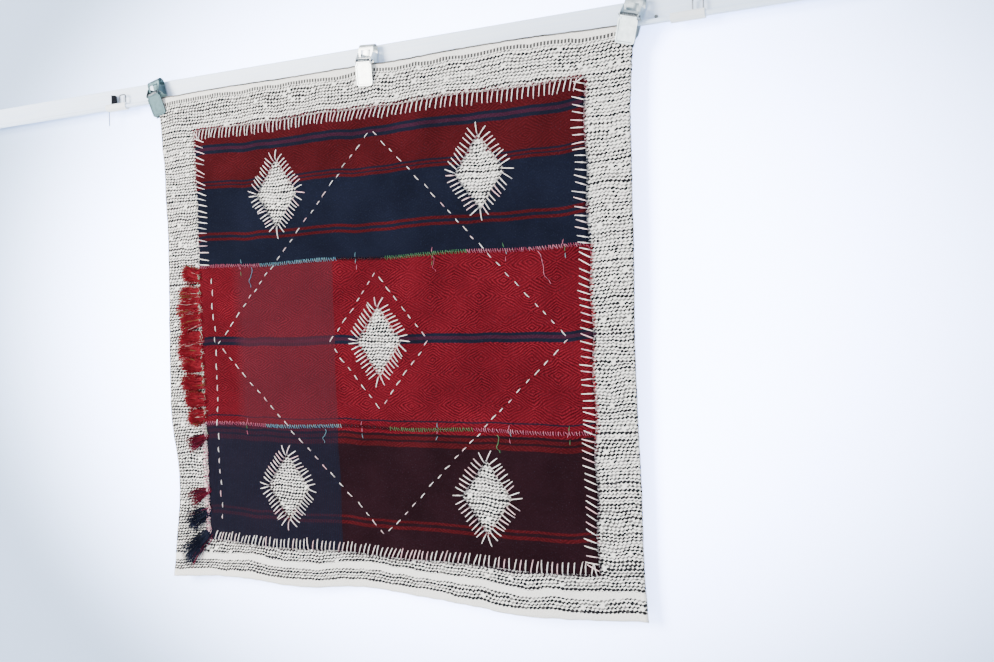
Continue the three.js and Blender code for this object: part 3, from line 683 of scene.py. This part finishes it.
shader = add(cotton, "BsdfPrincipled", {
    "Roughness": 0.92, "Specular IOR Level": 0.2, "Sheen Weight": 0.05, "Sheen Roughness": 0.5,
    "IOR": 1.45, "Base Color": black.outputs[2],
    "Normal": add(cotton, "Bump", {"Strength": 0.6, "Distance": 0.0006, "Height": relief})})
add(cotton, "OutputMaterial", {"Surface": shader})
ground = cloth_piece("ground_cloth_woven", bm, GROUND["thick"], cotton,
                     "ground_cloth")

# Blanket strips. Three lengths of old woollen blanket in a weft-faced diamond twill, lines a few
# millimetres apart, striped navy and crimson; cut out by hand and butted edge to edge.
STRIP_LIFT = 1.8
STRIP_THICK = 1.4
DIAMOND = {"width": 74, "height": 42, "lines": 5.4}
PICK_PITCH = 1.2
WINDOW = {"half_width": 38, "half_height": 52}
CRIMSON, RED, NAVY = "#370c10", "#4d0d15", "#0f121e"
PURPLE, INK = "#2a1220", "#1a0b10"
# Bands are measured down from a strip's upper edge. A plaid is a share of dark warps that comes in
# where it begins and stops at PLAID_END, both measured from the left.
STRIPS = [
    {"name": "strip_top", "left": -314, "right": 320, "top": -75, "bottom": -284,
     "windows": [(-163, -181), (170, -179)], "plaid": None, "slot": "navy_wool",
     "bands": [(0, CRIMSON), (24, NAVY), (28.5, PURPLE), (33, NAVY), (38, CRIMSON), (80, NAVY),
               (82, CRIMSON), (85, NAVY), (87, CRIMSON), (91, NAVY), (158, CRIMSON),
               (162, NAVY), (166, CRIMSON), (170, NAVY)]},
    {"name": "strip_middle", "left": -315, "right": 322, "top": -284, "bottom": -524,
     "windows": [(4, -402)], "plaid": {"begins": 62, "shade": "#3c1920", "share": 0.43},
     "slot": "red_wool",
     "bands": [(0, RED), (108, NAVY), (112.5, PURPLE), (117, NAVY), (121.5, RED), (228, NAVY),
               (230, RED)]},
    {"name": "strip_bottom", "left": -315, "right": 321, "top": -524, "bottom": -706,
     "windows": [(-160, -616), (168, -614)],
     "plaid": {"begins": -22, "shade": "#0f1420", "share": 0.55}, "slot": "dark_wool",
     "bands": [(0, RED), (7, INK), (10, CRIMSON), (15, INK), (18, CRIMSON), (25, INK),
               (128, CRIMSON), (132, INK), (136, CRIMSON), (141, INK)]},
]
PLAID_END, PLAID_SOFTNESS, PLAID_PITCH = 246, 22, 3.1


def blanket_wool(strip):
    """Woollen blanket cloth with the strip's bands and plaid."""
    length, height = strip["right"] - strip["left"], strip["top"] - strip["bottom"]
    wool = blank(f"blanket_wool_{strip['name']}")
    uv = add(wool, "UVMap", {"uv_map": "weave"})
    spread = add(wool, "VectorMath", "MULTIPLY", uv, (length, height, 0))
    place = add(wool, "SeparateXYZ", {}, spread)
    across, down = place.outputs["X"], place.outputs["Y"]
    wave = add(wool, "TexNoise",
               {"Scale": 0.012, "Detail": 1, "noise_dimensions": "1D", "W": across})
    waved = add(wool, "Math", "MULTIPLY_ADD", wave, 9, add(wool, "Math", "SUBTRACT", down, 4.5))
    ragged = add(wool, "TexNoise",
                 {"Scale": 0.9, "Detail": 1, "noise_dimensions": "1D", "W": across})
    stepped = add(wool, "Math", "MULTIPLY_ADD", ragged, 1.2, waved)
    stripes = add(wool, "ValToRGB",
                  {"interpolation": "CONSTANT",
                   "stops": [(mm / height, code) for mm, code in strip["bands"]]},
                  add(wool, "Math", "DIVIDE", stepped, height))
    # Diamond twill: lines at even distances from the middle of each lozenge, a little uneven.
    unease = add(wool, "TexNoise", {"Scale": 0.05, "Detail": 1, "noise_dimensions": "2D"}, spread)
    pulled_down = add(wool, "Math", "MULTIPLY_ADD", unease, 7, down)
    lozenge = []
    for axis, period in ((across, DIAMOND["width"]), (pulled_down, DIAMOND["height"])):
        turn = add(wool, "Math", "FRACT", add(wool, "Math", "DIVIDE", axis, period))
        lozenge.append(add(wool, "Math", "ABSOLUTE", add(wool, "Math", "SUBTRACT", turn, 0.5)))
    rings = add(wool, "Math", "MULTIPLY", add(wool, "Math", "ADD", *lozenge), 2 * DIAMOND["lines"])
    twill = add(wool, "Math", "SINE", add(wool, "Math", "MULTIPLY", rings, math.tau))
    broken = add(wool, "TexNoise", {"Scale": 0.5, "Detail": 3, "noise_dimensions": "2D"}, spread)
    # The picks are drawn coarser than they lie, so that they show.
    picks = add(wool, "Math", "SINE", add(wool, "Math", "MULTIPLY", down, math.tau / PICK_PITCH))
    # Both yarns of the twill are near in colour where it is dark, so it shows in the reds.
    redness = add(wool, "MapRange", {}, add(wool, "SeparateColor", {}, stripes).outputs["Red"],
                  0.015, 0.08, 0.12, 1)
    patch = add(wool, "TexNoise", {"Scale": 0.03, "Detail": 2, "noise_dimensions": "2D"}, spread)
    clear = add(wool, "MapRange", {}, patch, 0.3, 0.65, 0.5, 1.15)
    speckled = add(wool, "MapRange", {}, broken, 0.38, 0.62, 0.15, 0.95)
    line = add(wool, "Math", "MULTIPLY", add(wool, "Math", "MULTIPLY", twill, speckled),
               add(wool, "Math", "MULTIPLY", redness, clear))
    lit = add(wool, "Math", "ADD", line, add(wool, "Math", "MULTIPLY_ADD", broken, 0.5, 0.75))
    lit = add(wool, "Math", "MULTIPLY_ADD", picks, 0.06, lit)
    # Broad worn patches, and a plaid: the warps at the left are darker.
    worn = add(wool, "TexNoise", {"Scale": 0.014, "Detail": 3, "noise_dimensions": "2D"}, spread)
    wear = add(wool, "MapRange", {}, worn, 0.3, 0.7, 0.82, 1.15)
    lit = add(wool, "Math", "MULTIPLY", lit, wear)
    tint = add(wool, "VectorMath", "MULTIPLY", stripes, lit)
    if strip["plaid"]:
        begins = strip["plaid"]["begins"]
        begun = add(wool, "MapRange", {}, across, begins, begins + PLAID_SOFTNESS, 0, 1)
        plaid = add(wool, "Math", "MULTIPLY", begun,
                    add(wool, "Math", "LESS_THAN", across, PLAID_END))
        warp = add(wool, "Math", "FRACT", add(wool, "Math", "DIVIDE", across, PLAID_PITCH))
        dark_warp = add(wool, "Math", "LESS_THAN", warp, 0.45)
        share = add(wool, "Math", "MULTIPLY", plaid,
                    add(wool, "Math", "MULTIPLY_ADD", dark_warp, 0.3, strip["plaid"]["share"]))
        tint = add(wool, "Mix", {"data_type": "RGBA", 0: share, 6: tint,
                                 7: strip["plaid"]["shade"]}).outputs[2]
    # Flecks of undyed fibre in the yarn.
    flecks = add(wool, "TexNoise", {"Scale": 0.55, "Detail": 4, "noise_dimensions": "2D"}, spread)
    speck = add(wool, "MapRange", {}, flecks, 0.66, 0.74, 0, 0.1)
    flecked = add(wool, "Mix", {"data_type": "RGBA", 0: speck, 6: tint, 7: "#525e71"})
    relief = add(wool, "Math", "ADD", add(wool, "Math", "MULTIPLY", twill, 0.5),
                 add(wool, "Math", "ADD", picks, broken))
    shader = add(wool, "BsdfPrincipled", {
        "Roughness": 0.95, "Specular IOR Level": 0.03, "IOR": 1.45,
        "Base Color": flecked.outputs[2],
        "Normal": add(wool, "Bump", {"Strength": 0.5, "Distance": 0.0005, "Height": relief})})
    add(wool, "OutputMaterial", {"Surface": shader})
    return wool


def stray(along):
    """How far a hand-cut edge strays at a distance along it."""
    return 1.4 * math.sin(math.tau * along / 210) + 0.35 * noise.noise(
        Vector((along / 9, 4, 4)))


def strip_edge(strip, side, share):
    """A place on a strip's edge. Strips that meet stray alike along their seam."""
    if side in ("top", "bottom"):
        x = strip["left"] + (strip["right"] - strip["left"]) * share
        inward = -0.15 if side == "top" else 0.15
        return x, strip[side] + stray(x + strip[side]) + inward
    z = strip["top"] + (strip["bottom"] - strip["top"]) * share
    if side == "right":
        x = strip["right"] + stray(2 * z)
    else:
        x = strip["left"] + 0.5 * noise.noise(Vector((z / 12, 2, 8)))
    if share in (0, 1):
        z = strip_edge(strip, "bottom" if share else "top", int(side == "right"))[1]
    return x, z


def pulled(x, z):
    """Ripples in a sewn-down cloth, pushed out from the ground, never into it."""
    return 0.25 + 0.35 * noise.noise(Vector((x / 17, z / 21, 12))) + 0.15 * noise.noise(
        Vector((x / 7, z / 9, 3)))


STRIP_CELL = 4.5
for strip in STRIPS:
    length, height = strip["right"] - strip["left"], strip["top"] - strip["bottom"]
    bm = woven_sheet(round(length / STRIP_CELL), round(height / STRIP_CELL))
    for vert in bm.verts:
        x, z = between_edges(partial(strip_edge, strip), vert.co.x + 0.5, 0.5 - vert.co.y)
        vert.co = (x, cloth_front(x, z) - STRIP_LIFT - pulled(x, z), z)
    w, h = WINDOW["half_width"], WINDOW["half_height"]
    for wx, wz in strip["windows"]:
        for sx, sz in ((1, 1), (1, -1), (-1, 1), (-1, -1)):
            near = [f for f in bm.faces if abs(f.calc_center_median().x - wx) < w + 6
                    and abs(f.calc_center_median().z - wz) < h + 6]
            geometry = near + list({e for f in near for e in f.edges}
                                   | {v for f in near for v in f.verts})
            bmesh.ops.bisect_plane(bm, geom=geometry, dist=0.05,
                                   plane_co=(wx + sx * w, 0, wz), plane_no=(sx * h, 0, sz * w))
        inside = [f for f in bm.faces
                  if abs(f.calc_center_median().x - wx) / w
                  + abs(f.calc_center_median().z - wz) / h < 0.995]
        bmesh.ops.delete(bm, geom=inside, context="FACES")
    bmesh.ops.remove_doubles(bm, verts=bm.verts, dist=0.02)
    piece = cloth_piece(f"{strip['name']}_blanket", bm, STRIP_THICK, blanket_wool(strip),
                        strip["name"])
    length, height, window_area = length * MM, height * MM, 2 * w * h * MM * MM


# Sewing yarn. Soft white cotton of two plies, about 2 mm thick, taken over the strips' cut edges
# every 5 to 8 mm, and in running stitches. A stitch sinks into the cloth at both ends.
def yarn_mesh():
    """An empty mesh for stitches, with the UV map that keeps their shades."""
    bm = bmesh.new()
    bm.loops.layers.uv.new("yarn")
    return bm


def thread(stations, sides=6, flat=0.8, twist=55):
    """A thread swept along (distance, height, radius) stations, its plies turning as it goes."""
    bm = yarn_mesh()
    bmesh.ops.create_circle(bm, cap_ends=True, segments=sides, radius=1)
    bmesh.ops.rotate(bm, matrix=Matrix.Rotation(math.radians(90), 3, "Y"), verts=bm.verts)
    tip = next(iter(bm.faces))

    def section(k):
        """Where the thread's end lies at a station, across its way and turned with its plies."""
        here = Vector((stations[k][0], 0, stations[k][1]))
        before, after = stations[max(k - 1, 0)], stations[min(k + 1, len(stations) - 1)]
        slope = math.atan2(after[1] - before[1], after[0] - before[0])
        radius = stations[k][2]
        return (Matrix.Translation(here) @ Matrix.Rotation(-slope, 4, "Y")
                @ Matrix.Rotation(math.radians(twist * k), 4, "X")
                @ Matrix.Diagonal((1, radius, radius * flat, 1)))

    bmesh.ops.transform(bm, matrix=section(0), verts=bm.verts)
    uv = bm.loops.layers.uv["yarn"]
    for k in range(1, len(stations)):
        old = set(bm.faces)
        grown = bmesh.ops.extrude_face_region(bm, geom=[tip])["geom"]
        verts = [v for v in grown if isinstance(v, bmesh.types.BMVert)]
        tip = next(f for f in grown if isinstance(f, bmesh.types.BMFace))
        bmesh.ops.transform(bm, matrix=section(k) @ section(k - 1).inverted(), verts=verts)
        for face in set(bm.faces) - old:
            for loop in face.loops:
                loop[uv].uv = (k / len(stations), 0)
    bmesh.ops.recalc_face_normals(bm, faces=bm.faces)
    for face in bm.faces:
        face.smooth = True
    mesh = bpy.data.meshes.new("thread")
    bm.to_mesh(mesh)
    bm.free()
    return mesh


def sew(bm, stitch, matrix, shade):
    """Adds a copy of a stitch in its place, with its own shade kept in the UV map's v."""
    copy = stitch.copy()
    copy.transform(matrix)
    for loop in copy.uv_layers["yarn"].uv:
        loop.vector.y = shade
    bm.from_mesh(copy, face_normals=False, vertex_normals=False)
    bpy.data.meshes.remove(copy)


def lying(x, z, heading, length, lift):
    """The place of a stitch that starts at x, z and lies on the cloth along heading."""
    dx, dz = math.cos(heading), math.sin(heading)
    end_x, end_z = x + dx * length, z + dz * length
    start = Vector((x, cloth_front(x, z) - lift, z))
    end = Vector((end_x, cloth_front(end_x, end_z) - lift, end_z))
    along, side, out = (end - start) / length, Vector((-dz, 0, dx)), Vector((0, -1, 0))
    return Matrix.Translation(start) @ Matrix((along, side, out)).transposed().to_4x4()


def yarn_material(name, stops):
    """Soft spun yarn whose shade goes by the v of each stitch's UV."""
    yarn, fibres = grained(name, size=0.625, detail=3)
    parts = add(yarn, "SeparateXYZ", {}, add(yarn, "UVMap", {"uv_map": "yarn"}))
    shade = add(yarn, "ValToRGB", {"stops": stops}, parts.outputs["Y"])
    fuzz = add(yarn, "MapRange", {}, fibres, 0.3, 0.7, 0.8, 1.1)
    shader = add(yarn, "BsdfPrincipled", {
        "Roughness": 0.9, "Specular IOR Level": 0.08, "IOR": 1.45,
        "Base Color": add(yarn, "VectorMath", "MULTIPLY", shade, fuzz),
        "Normal": add(yarn, "Bump", {"Strength": 0.5, "Distance": 0.0003, "Height": fibres})})
    add(yarn, "OutputMaterial", {"Surface": shader})
    return yarn


white_cotton = yarn_material("white_cotton_yarn", [
    (0, "#dbd2cb"), (0.5, "#efebe6"), (0.75, "#eacfce"), (1, "#dcb0b5")])
random.seed(41)
ON_STRIP = STRIP_LIFT + 0.3
whips = {reach: thread([
    (-1.4, -0.6, 0.7), (-0.9, 1.5, 0.95), (0.6, 2.9, 1.05), (0.35 * reach, 3.2, 1.05),
    (0.7 * reach, 3.1, 1.0), (reach - 1.0, 2.6, 0.95), (reach + 0.1, 1.2, 0.6)])
         for reach in (11, 13, 15, 17, 19)}


def at_length(points, s, closed):
    """The place at a distance along a line of points, held at its ends or going round."""
    runs = [math.dist(a, b) for a, b in zip(points, points[1:])]
    s = s % sum(runs) if closed else min(max(s, 0), sum(runs) - 1e-6)
    for (x0, z0), (x1, z1), run in zip(points, points[1:], runs):
        if s <= run:
            return x0 + (x1 - x0) * s / run, z0 + (z1 - z0) * s / run
        s -= run
    return points[-1]


def line_length(points):
    """The length of a line of points."""
    return sum(math.dist(a, b) for a, b in zip(points, points[1:]))


def whip_edge(bm, points, lean, spacing, closed=False):
    """Whip stitches along an edge whose cloth is on its left, leaning as they were sewn."""
    points = points + [points[0]] if closed else points
    s = 2.0
    while s < line_length(points) - 1:
        x, z = at_length(points, s, closed)
        back, ahead = at_length(points, s - 9, closed), at_length(points, s + 9, closed)
        heading = math.atan2(ahead[1] - back[1], ahead[0] - back[0])
        # Stitches are longer and wider spaced towards the right, and closer on the upright edges.
        far = min(1, max(0, (x + 320) / 640))
        upright = 0 if closed else abs(math.sin(heading))
        slant = math.radians(lean + random.gauss(0, 4) + 9 * math.sin(x / 61 + z / 47))
        reach = 13.5 + 2 * far + (4.5 - 4 * far) * upright + random.gauss(0, 0.8)
        stitch = whips[min(whips, key=lambda length: abs(length - reach))]
        sew(bm, stitch, lying(x, z, heading + math.pi / 2 + slant, 12, 0)
            @ Matrix.Diagonal((1, 0.8, 1, 1)), random.random())
        step = spacing * (0.84 + 0.16 * far)
        s += (step + (9 - step) * upright) * random.uniform(0.88, 1.12)


def window_corners(spot):
    """A window's corners, going round with the cloth on the left."""
    (x, z), w, h = spot, WINDOW["half_width"], WINDOW["half_height"]
    return [(x - w, z), (x, z + h), (x + w, z), (x, z - h)]


whip_stitches = yarn_mesh()
# The field's outline, going round with the cloth on the left.
steps = 60
top_strip, middle_strip, bottom_strip = STRIPS
top_side = [strip_edge(top_strip, "top", 1 - i / steps) for i in range(steps + 1)]
left_side = [(top_strip["left"], top_strip["top"] + (top_strip["bottom"] - top_strip["top"])
              * i / 20) for i in range(1, 21)]
bottom_side = [strip_edge(bottom_strip, "bottom", 0.01 + 0.99 * i / steps)
               for i in range(steps + 1)]
right_side = [strip_edge(strip, "right", 1 - i / 16) for strip in reversed(STRIPS)
              for i in range(17)]
field_edge = bottom_side + right_side + top_side + left_side
windows = [spot for strip in STRIPS for spot in strip["windows"]]
whip_edge(whip_stitches, field_edge, lean=-15, spacing=7.7)
for spot in windows:
    whip_edge(whip_stitches, window_corners(spot), lean=-5, spacing=6.6, closed=True)
finished_piece("whip_stitches", whip_stitches, white_cotton)

# Cut edges. The blanket frays where it was cut: short fibres of its stripes' own colours stand
# out from under the whip stitches, paler than the cloth.
FIBRE_SHADES = {CRIMSON: 0, RED: 0.25, NAVY: 0.5, INK: 0.75, PURPLE: 1}
loose_fibre = yarn_material("frayed_blanket_fibre", [
    (0, "#792838"), (0.25, "#9a2833"), (0.5, "#23293a"), (0.75, "#321f29"), (1, "#592942")])
fibres = [thread([(0, 0, 0.24), (0.35 * reach, 0.7, 0.24), (0.7 * reach, 0.5, 0.2),
                  (reach, 0.1, 0.1)], sides=3, flat=1, twist=20) for reach in (3.5, 5, 7)]


def stripe_at(z):
    """The colour of the blanket's stripe at a height."""
    strip = next((strip for strip in STRIPS if z > strip["bottom"]), STRIPS[-1])
    return [code for mm, code in strip["bands"] if mm <= max(strip["top"] - z, 0)][-1]


def fray(bm, points, spacing):
    """Loose fibres that stand out from an edge whose cloth is on its left."""
    s = 1.0
    while s < line_length(points) - 1:
        x, z = at_length(points, s, False)
        ahead = at_length(points, s + 4, False)
        heading = math.atan2(ahead[1] - z, ahead[0] - x) - math.pi / 2 + random.gauss(0, 0.6)
        sew(bm, random.choice(fibres), lying(x, z, heading, 4, random.uniform(0.6, 1.6)),
            FIBRE_SHADES[stripe_at(z)])
        s += random.uniform(0.5, 1.5) * spacing


frays = yarn_mesh()
random.seed(19)
fray(frays, field_edge, spacing=1.1)
for spot in windows:
    corners = window_corners(spot)
    fray(frays, corners + corners[:1], spacing=1.6)
finished_piece("cut_edge_fibres", frays, loose_fibre)

# Running stitches. The same yarn in a large diamond and a small one round the middle window, as
# on a traditional quilt, and in a line down the left end that holds the selvedges.
RUNNING_LENGTHS = (7, 8.5, 10)
running = {reach: thread([(0, -0.5, 0.4), (0.8, 0.5, 0.62), (0.35 * reach, 0.8, 0.72),
                          (0.7 * reach, 0.8, 0.72), (reach - 0.8, 0.5, 0.6), (reach, -0.5, 0.4)])
           for reach in RUNNING_LENGTHS}


def on_window(x, z, margin):
    """Whether a place lies on a window or within a margin of one."""
    return any(abs(x - wx) / (WINDOW["half_width"] + margin)
               + abs(z - wz) / (WINDOW["half_height"] + margin) < 1 for wx, wz in windows)


def running_line(bm, points):
    """Running stitches with gaps of about their own length, leaving the windows free."""
    due = random.uniform(2, 8)
    for (x0, z0), (x1, z1) in zip(points, points[1:]):
        run = math.hypot(x1 - x0, z1 - z0)
        heading = math.atan2(z1 - z0, x1 - x0)
        while due < run - 6:
            x, z = x0 + (x1 - x0) * due / run, z0 + (z1 - z0) * due / run
            x, z = x + random.gauss(0, 0.7), z + random.gauss(0, 0.7)
            length = random.choice(RUNNING_LENGTHS)
            if not on_window(x, z, 24):
                sew(bm, running[length],
                    lying(x, z, heading + random.gauss(0, 0.06), 8, ON_STRIP), random.random())
            due += length + random.uniform(7, 11)
        due = max(due - run, 1)


def diamond(x, z, half_width, above, below):
    """A closed diamond about a place, from its top round by the right."""
    top = (x, z + above)
    return [top, (x + half_width, z), (x, z - below), (x - half_width, z), top]


running_stitches = yarn_mesh()
running_line(running_stitches, [(-291, -296), (-288, -430), (-292, -560), (-289, -686)])
running_line(running_stitches, diamond(4, -402, half_width=287, above=298, below=275))
running_line(running_stitches, diamond(4, -402, half_width=82, above=96, below=96))
finished_piece("running_stitches", running_stitches, white_cotton)

# Seams. The strips' butted edges are drawn together by small overcast stitches in odd ends of
# coloured thread, with a few long basting stitches left in across them.
ends_of_thread = yarn_material("coloured_cotton_thread", [
    (0, "#a94c62"), (0.2, "#bd7385"), (0.3, "#7a9fa2"), (0.42, "#5a8aa0"), (0.52, "#1e232a"),
    (0.62, "#33161c"), (0.7, "#396743"), (0.8, "#5a8a5e"), (0.88, "#963852"), (1, "#c98595")])
overcast = thread([(-3, -0.4, 0.35), (-2, 0.75, 0.55), (0, 1.1, 0.6), (2, 0.75, 0.55),
                   (3, -0.4, 0.35)], sides=5)
# Shade of thread along each seam: up to a place, from and to in the ramp.
SEAM_SHADES = [(-196, 0, 0.2), (-60, 0.3, 0.42), (20, 0.52, 0.62), (150, 0.7, 0.8), (330, 0.88, 1)]
BASTED_AT = (-232, -28, 96, 205, 288)
seams = yarn_mesh()
for strip in (middle_strip, bottom_strip):
    x = strip["left"] + 2
    while x < strip["right"] - 2:
        shade = next(random.uniform(low, high) for end, low, high in SEAM_SHADES if x < end)
        z = strip_edge(strip, "top", (x - strip["left"]) / (strip["right"] - strip["left"]))[1]
        turn = math.radians(90 + random.gauss(18, 12))
        sew(seams, overcast, lying(x, z, turn, 3, ON_STRIP), shade)
        x += random.uniform(2.6, 4.2)
    for x in BASTED_AT:
        for k in range(3):
            shade = random.choice((0.05, 0.35, 0.75, 0.95))
            z = strip["top"] - 9 + 9 * k
            sew(seams, running[RUNNING_LENGTHS[0]],
                lying(x + random.gauss(0, 1), z, math.radians(-90 + random.gauss(0, 10)), 8,
                      ON_STRIP) @ Matrix.Diagonal((1, 0.6, 0.7, 1)), shade)
# Loose ends of the same threads hang from the seams and the left end: place, heading, length,
# shade.
LOOSE_ENDS = [(252, -289, -70, 46, 0.95), (-212, -288, -96, 30, 0.42), (96, -287, -80, 22, 0.9),
              (-316, -304, 206, 34, 0.58), (-315, -371, 196, 30, 0.6), (-316, -428, 214, 36, 0.56),
              (-314, -519, 236, 30, 0.55), (-315, -660, 222, 40, 0.08), (-313, -700, 238, 44, 0.1),
              (186, -529, -84, 24, 0.8), (-90, -528, -100, 20, 0.35), (318, -286, -40, 16, 0.9)]
END_LENGTH = 46
loose_end = thread([(END_LENGTH * k / 8, 0.3 + 0.9 * math.sin(k * 1.4) ** 2, 0.42 - 0.12 * (k > 6))
                    for k in range(9)], sides=5, flat=1, twist=40)
for vert in loose_end.vertices:
    vert.co.y += 2.2 * math.sin(vert.co.x / 6.5) + 0.8 * math.sin(vert.co.x / 2.9)
for x, z, turn, length, shade in LOOSE_ENDS:
    sew(seams, loose_end, lying(x, z, math.radians(turn), length, ON_STRIP if x > -300 else 1)
        @ Matrix.Diagonal((length / END_LENGTH, 1, 1, 1)), shade)
finished_piece("seam_stitches", seams, ends_of_thread)

# Fringes. The blanket's weft ends, left long at its selvedge and drawn together by a twisted
# white and green thread into soft brush-like clumps of loose yarn; a few tassels lower down.
RED_CLUMPS = [(14, 45, -9), (40, 52, 3), (60, 58, 6), (80, 53, 9), (107, 56, 7), (129, 60, 1),
              (151, 52, -4), (177, 54, 4), (203, 48, 2), (227, 44, 11)]
DARK_TASSELS = [(20, 50, 24), (104, 54, 22), (136, 62, 26), (168, 84, 41)]
STRAND_LENGTH = 55
strand_shapes = []
random.seed(7)
for k in range(10):
    bow, kink = random.uniform(-2.5, 2.5), random.uniform(-1, 1)
    mesh = thread([(0, 0, 0.34), (8, 1.2 + 0.2 * bow, 0.42), (17, 1.9 + 0.3 * kink, 0.42),
                   (27, 2.0 + 0.3 * bow, 0.4), (38, 1.5 - 0.3 * kink, 0.36), (48, 0.9, 0.28),
                   (STRAND_LENGTH, 0.4, 0.1)], sides=3, flat=1, twist=25)
    for vert in mesh.vertices:
        t = vert.co.x / STRAND_LENGTH
        vert.co.y += bow * math.sin(math.pi * t) + kink * math.sin(3 * math.pi * t)
    strand_shapes.append(mesh)


def brush(bm, root_x, root_z, length, lean, strands, width, fan, shades):
    """A clump of loose yarns drawn in at the root, full and rounded in the middle."""
    for _ in range(strands):
        place = random.triangular(-1, 1, random.uniform(-1, 1))
        depth = random.random() * math.sqrt(max(0, 1 - place ** 2))
        heading = math.radians(180 + lean + fan * place + random.gauss(0, 3))
        reach = length * (1 - 0.22 * abs(place) ** 3) * random.triangular(0.6, 1, 0.9)
        x = root_x + random.uniform(0, 3)
        z = root_z - 0.6 * place * width
        matrix = lying(x, z, heading, reach, 0.5 + 1.2 * depth)
        swell = Matrix.Diagonal((reach / STRAND_LENGTH, 1, 1 + 2.4 * depth, 1))
        sew(bm, random.choice(strand_shapes), matrix @ swell, random.choice(shades))


fringe_yarn = yarn_material("loose_blanket_yarn", [
    (0, "#691320"), (0.25, "#7b1824"), (0.4, "#56111d"), (0.5, "#565e34"), (0.6, "#d0b2ae"),
    (0.7, "#470f1e"), (0.8, "#67152e"), (0.9, "#121725"), (1, "#1c2031")])
# Shades of yarn in the ramp, each as often as it comes in a clump.
REDS = [0.06, 0.1, 0.14, 0.18, 0.22, 0.26, 0.3] * 5 + [0.5, 0.58]
CRIMSONS = [0.7, 0.74, 0.78, 0.8, 0.36] * 4 + [0.92]
NAVIES = [0.9, 0.93, 0.96, 1.0] * 4 + [0.78]
ROOT_X = -313
red_fringe, dark_fringe = yarn_mesh(), yarn_mesh()
for down_by, length, lean in RED_CLUMPS:
    brush(red_fringe, ROOT_X, middle_strip["top"] - down_by, length, lean, strands=280, width=16,
          fan=8, shades=REDS)
for tassel, (strands, width, shades) in zip(
        DARK_TASSELS, [(70, 7, CRIMSONS)] * 2 + [(110, 11, NAVIES)] * 2):
    down_by, length, lean = tassel
    brush(dark_fringe, ROOT_X, bottom_strip["top"] - down_by, length, lean, strands, width,
          fan=17, shades=shades)
finished_piece("fringe_red_yarn", red_fringe, fringe_yarn, ["fringe_red"])
finished_piece("fringe_dark_yarn", dark_fringe, fringe_yarn, ["fringe_dark"])

# Binding of the fringe. A twisted thread, white and green by turns, runs down the selvedge from
# clump to clump and is knotted round each root; lower down it is pink.
binding_thread = yarn_material("two_ply_binding_thread", [
    (0, "#c2c4b4"), (0.3, "#8a967d"), (0.45, "#d5cec5"), (0.55, "#d09ea5"), (0.8, "#dbbabd"),
    (1, "#95526c")])
knot_stitch = thread([(-3.5, 0.2, 0.45), (-2.4, 1.4, 0.75), (0, 2.2, 0.85), (2.4, 1.4, 0.75),
                      (3.5, 0.2, 0.45)])
span_stitch = thread([(0, 1.2, 0.6), (4, 1.5, 0.68), (8, 1.1, 0.6), (12, 1.6, 0.68),
                      (16, 1.2, 0.6)], twist=70)
binding = yarn_mesh()
random.seed(23)
# Each root has its height and the range of its thread's shades.
roots = [(middle_strip["top"] - down_by, 0, 0.45) for down_by, *_ in RED_CLUMPS]
roots += [(bottom_strip["top"] - down_by, 0.55, 1) for down_by, *_ in DARK_TASSELS]
for (z, low, high), (below, *_) in zip(roots, roots[1:] + [(bottom_strip["bottom"] + 4, 0, 0)]):
    for turn in (62, 118, 90, 75):
        sew(binding, knot_stitch,
            lying(ROOT_X - 3.5 + random.gauss(0, 0.7), z + random.gauss(0, 1.2),
                  math.radians(turn + random.gauss(0, 8)), 4, 3), random.uniform(low, high))
    spans = max(1, round((z - below) / 15))
    reach = (z - below) / spans
    for k in range(spans):
        side = 3 * (-1) ** k
        start = z - reach * k
        heading = math.radians(-90 - side * 9)
        sew(binding, span_stitch, lying(ROOT_X - 3 + side, start, heading, reach, 2.4)
            @ Matrix.Diagonal((reach / 16, 1, 1, 1)), random.uniform(low, high))
z = bottom_strip["top"] - 3
pinks = (0.55, 0.6, 0.7, 0.78, 0.84, 1)
while z > bottom_strip["bottom"]:
    sew(binding, knot_stitch, lying(ROOT_X - 6.5, z, math.radians(random.gauss(8, 18)), 6, 1.8)
        @ Matrix.Diagonal((random.uniform(1.2, 1.7), 1.15, 1, 1)), random.choice(pinks))
    z -= random.uniform(3, 5.5)
finished_piece("fringe_binding", binding, binding_thread)

# Selvedges. The ground's wefts turn back round its last warp at both upright edges, in small loops
# of black and cream cotton that stand out a little.
weft_yarn = yarn_material("turned_weft", [
    (0, "#131418"), (0.45, "#26272a"), (0.55, "#d4d1c7"), (1, "#efece4")])
weft_loop = thread([(-0.6, -0.6, 0.5), (0.2, 0.5, 0.6), (1.6, 0.95, 0.65), (3.0, 0.5, 0.6),
                    (3.8, -0.6, 0.5)], sides=5)
selvedges = yarn_mesh()
for edge, side in (("left", 1), ("right", -1)):
    for k in range(round(GROUND["height"] / ROW_PITCH) - 4):
        x, z = ground_edge(edge, (k + 2.5) * ROW_PITCH / GROUND["height"])
        turned = Matrix.Rotation(math.radians(90 * side), 4, "X")
        sew(selvedges, weft_loop, lying(x + 0.4 * side, z + random.gauss(0, 0.4),
                                        math.radians(-90), 4, -1) @ turned,
            random.uniform(0, 0.45) if random.random() < 0.45 else random.uniform(0.55, 1))
finished_piece("selvedge_loops", selvedges, weft_yarn)
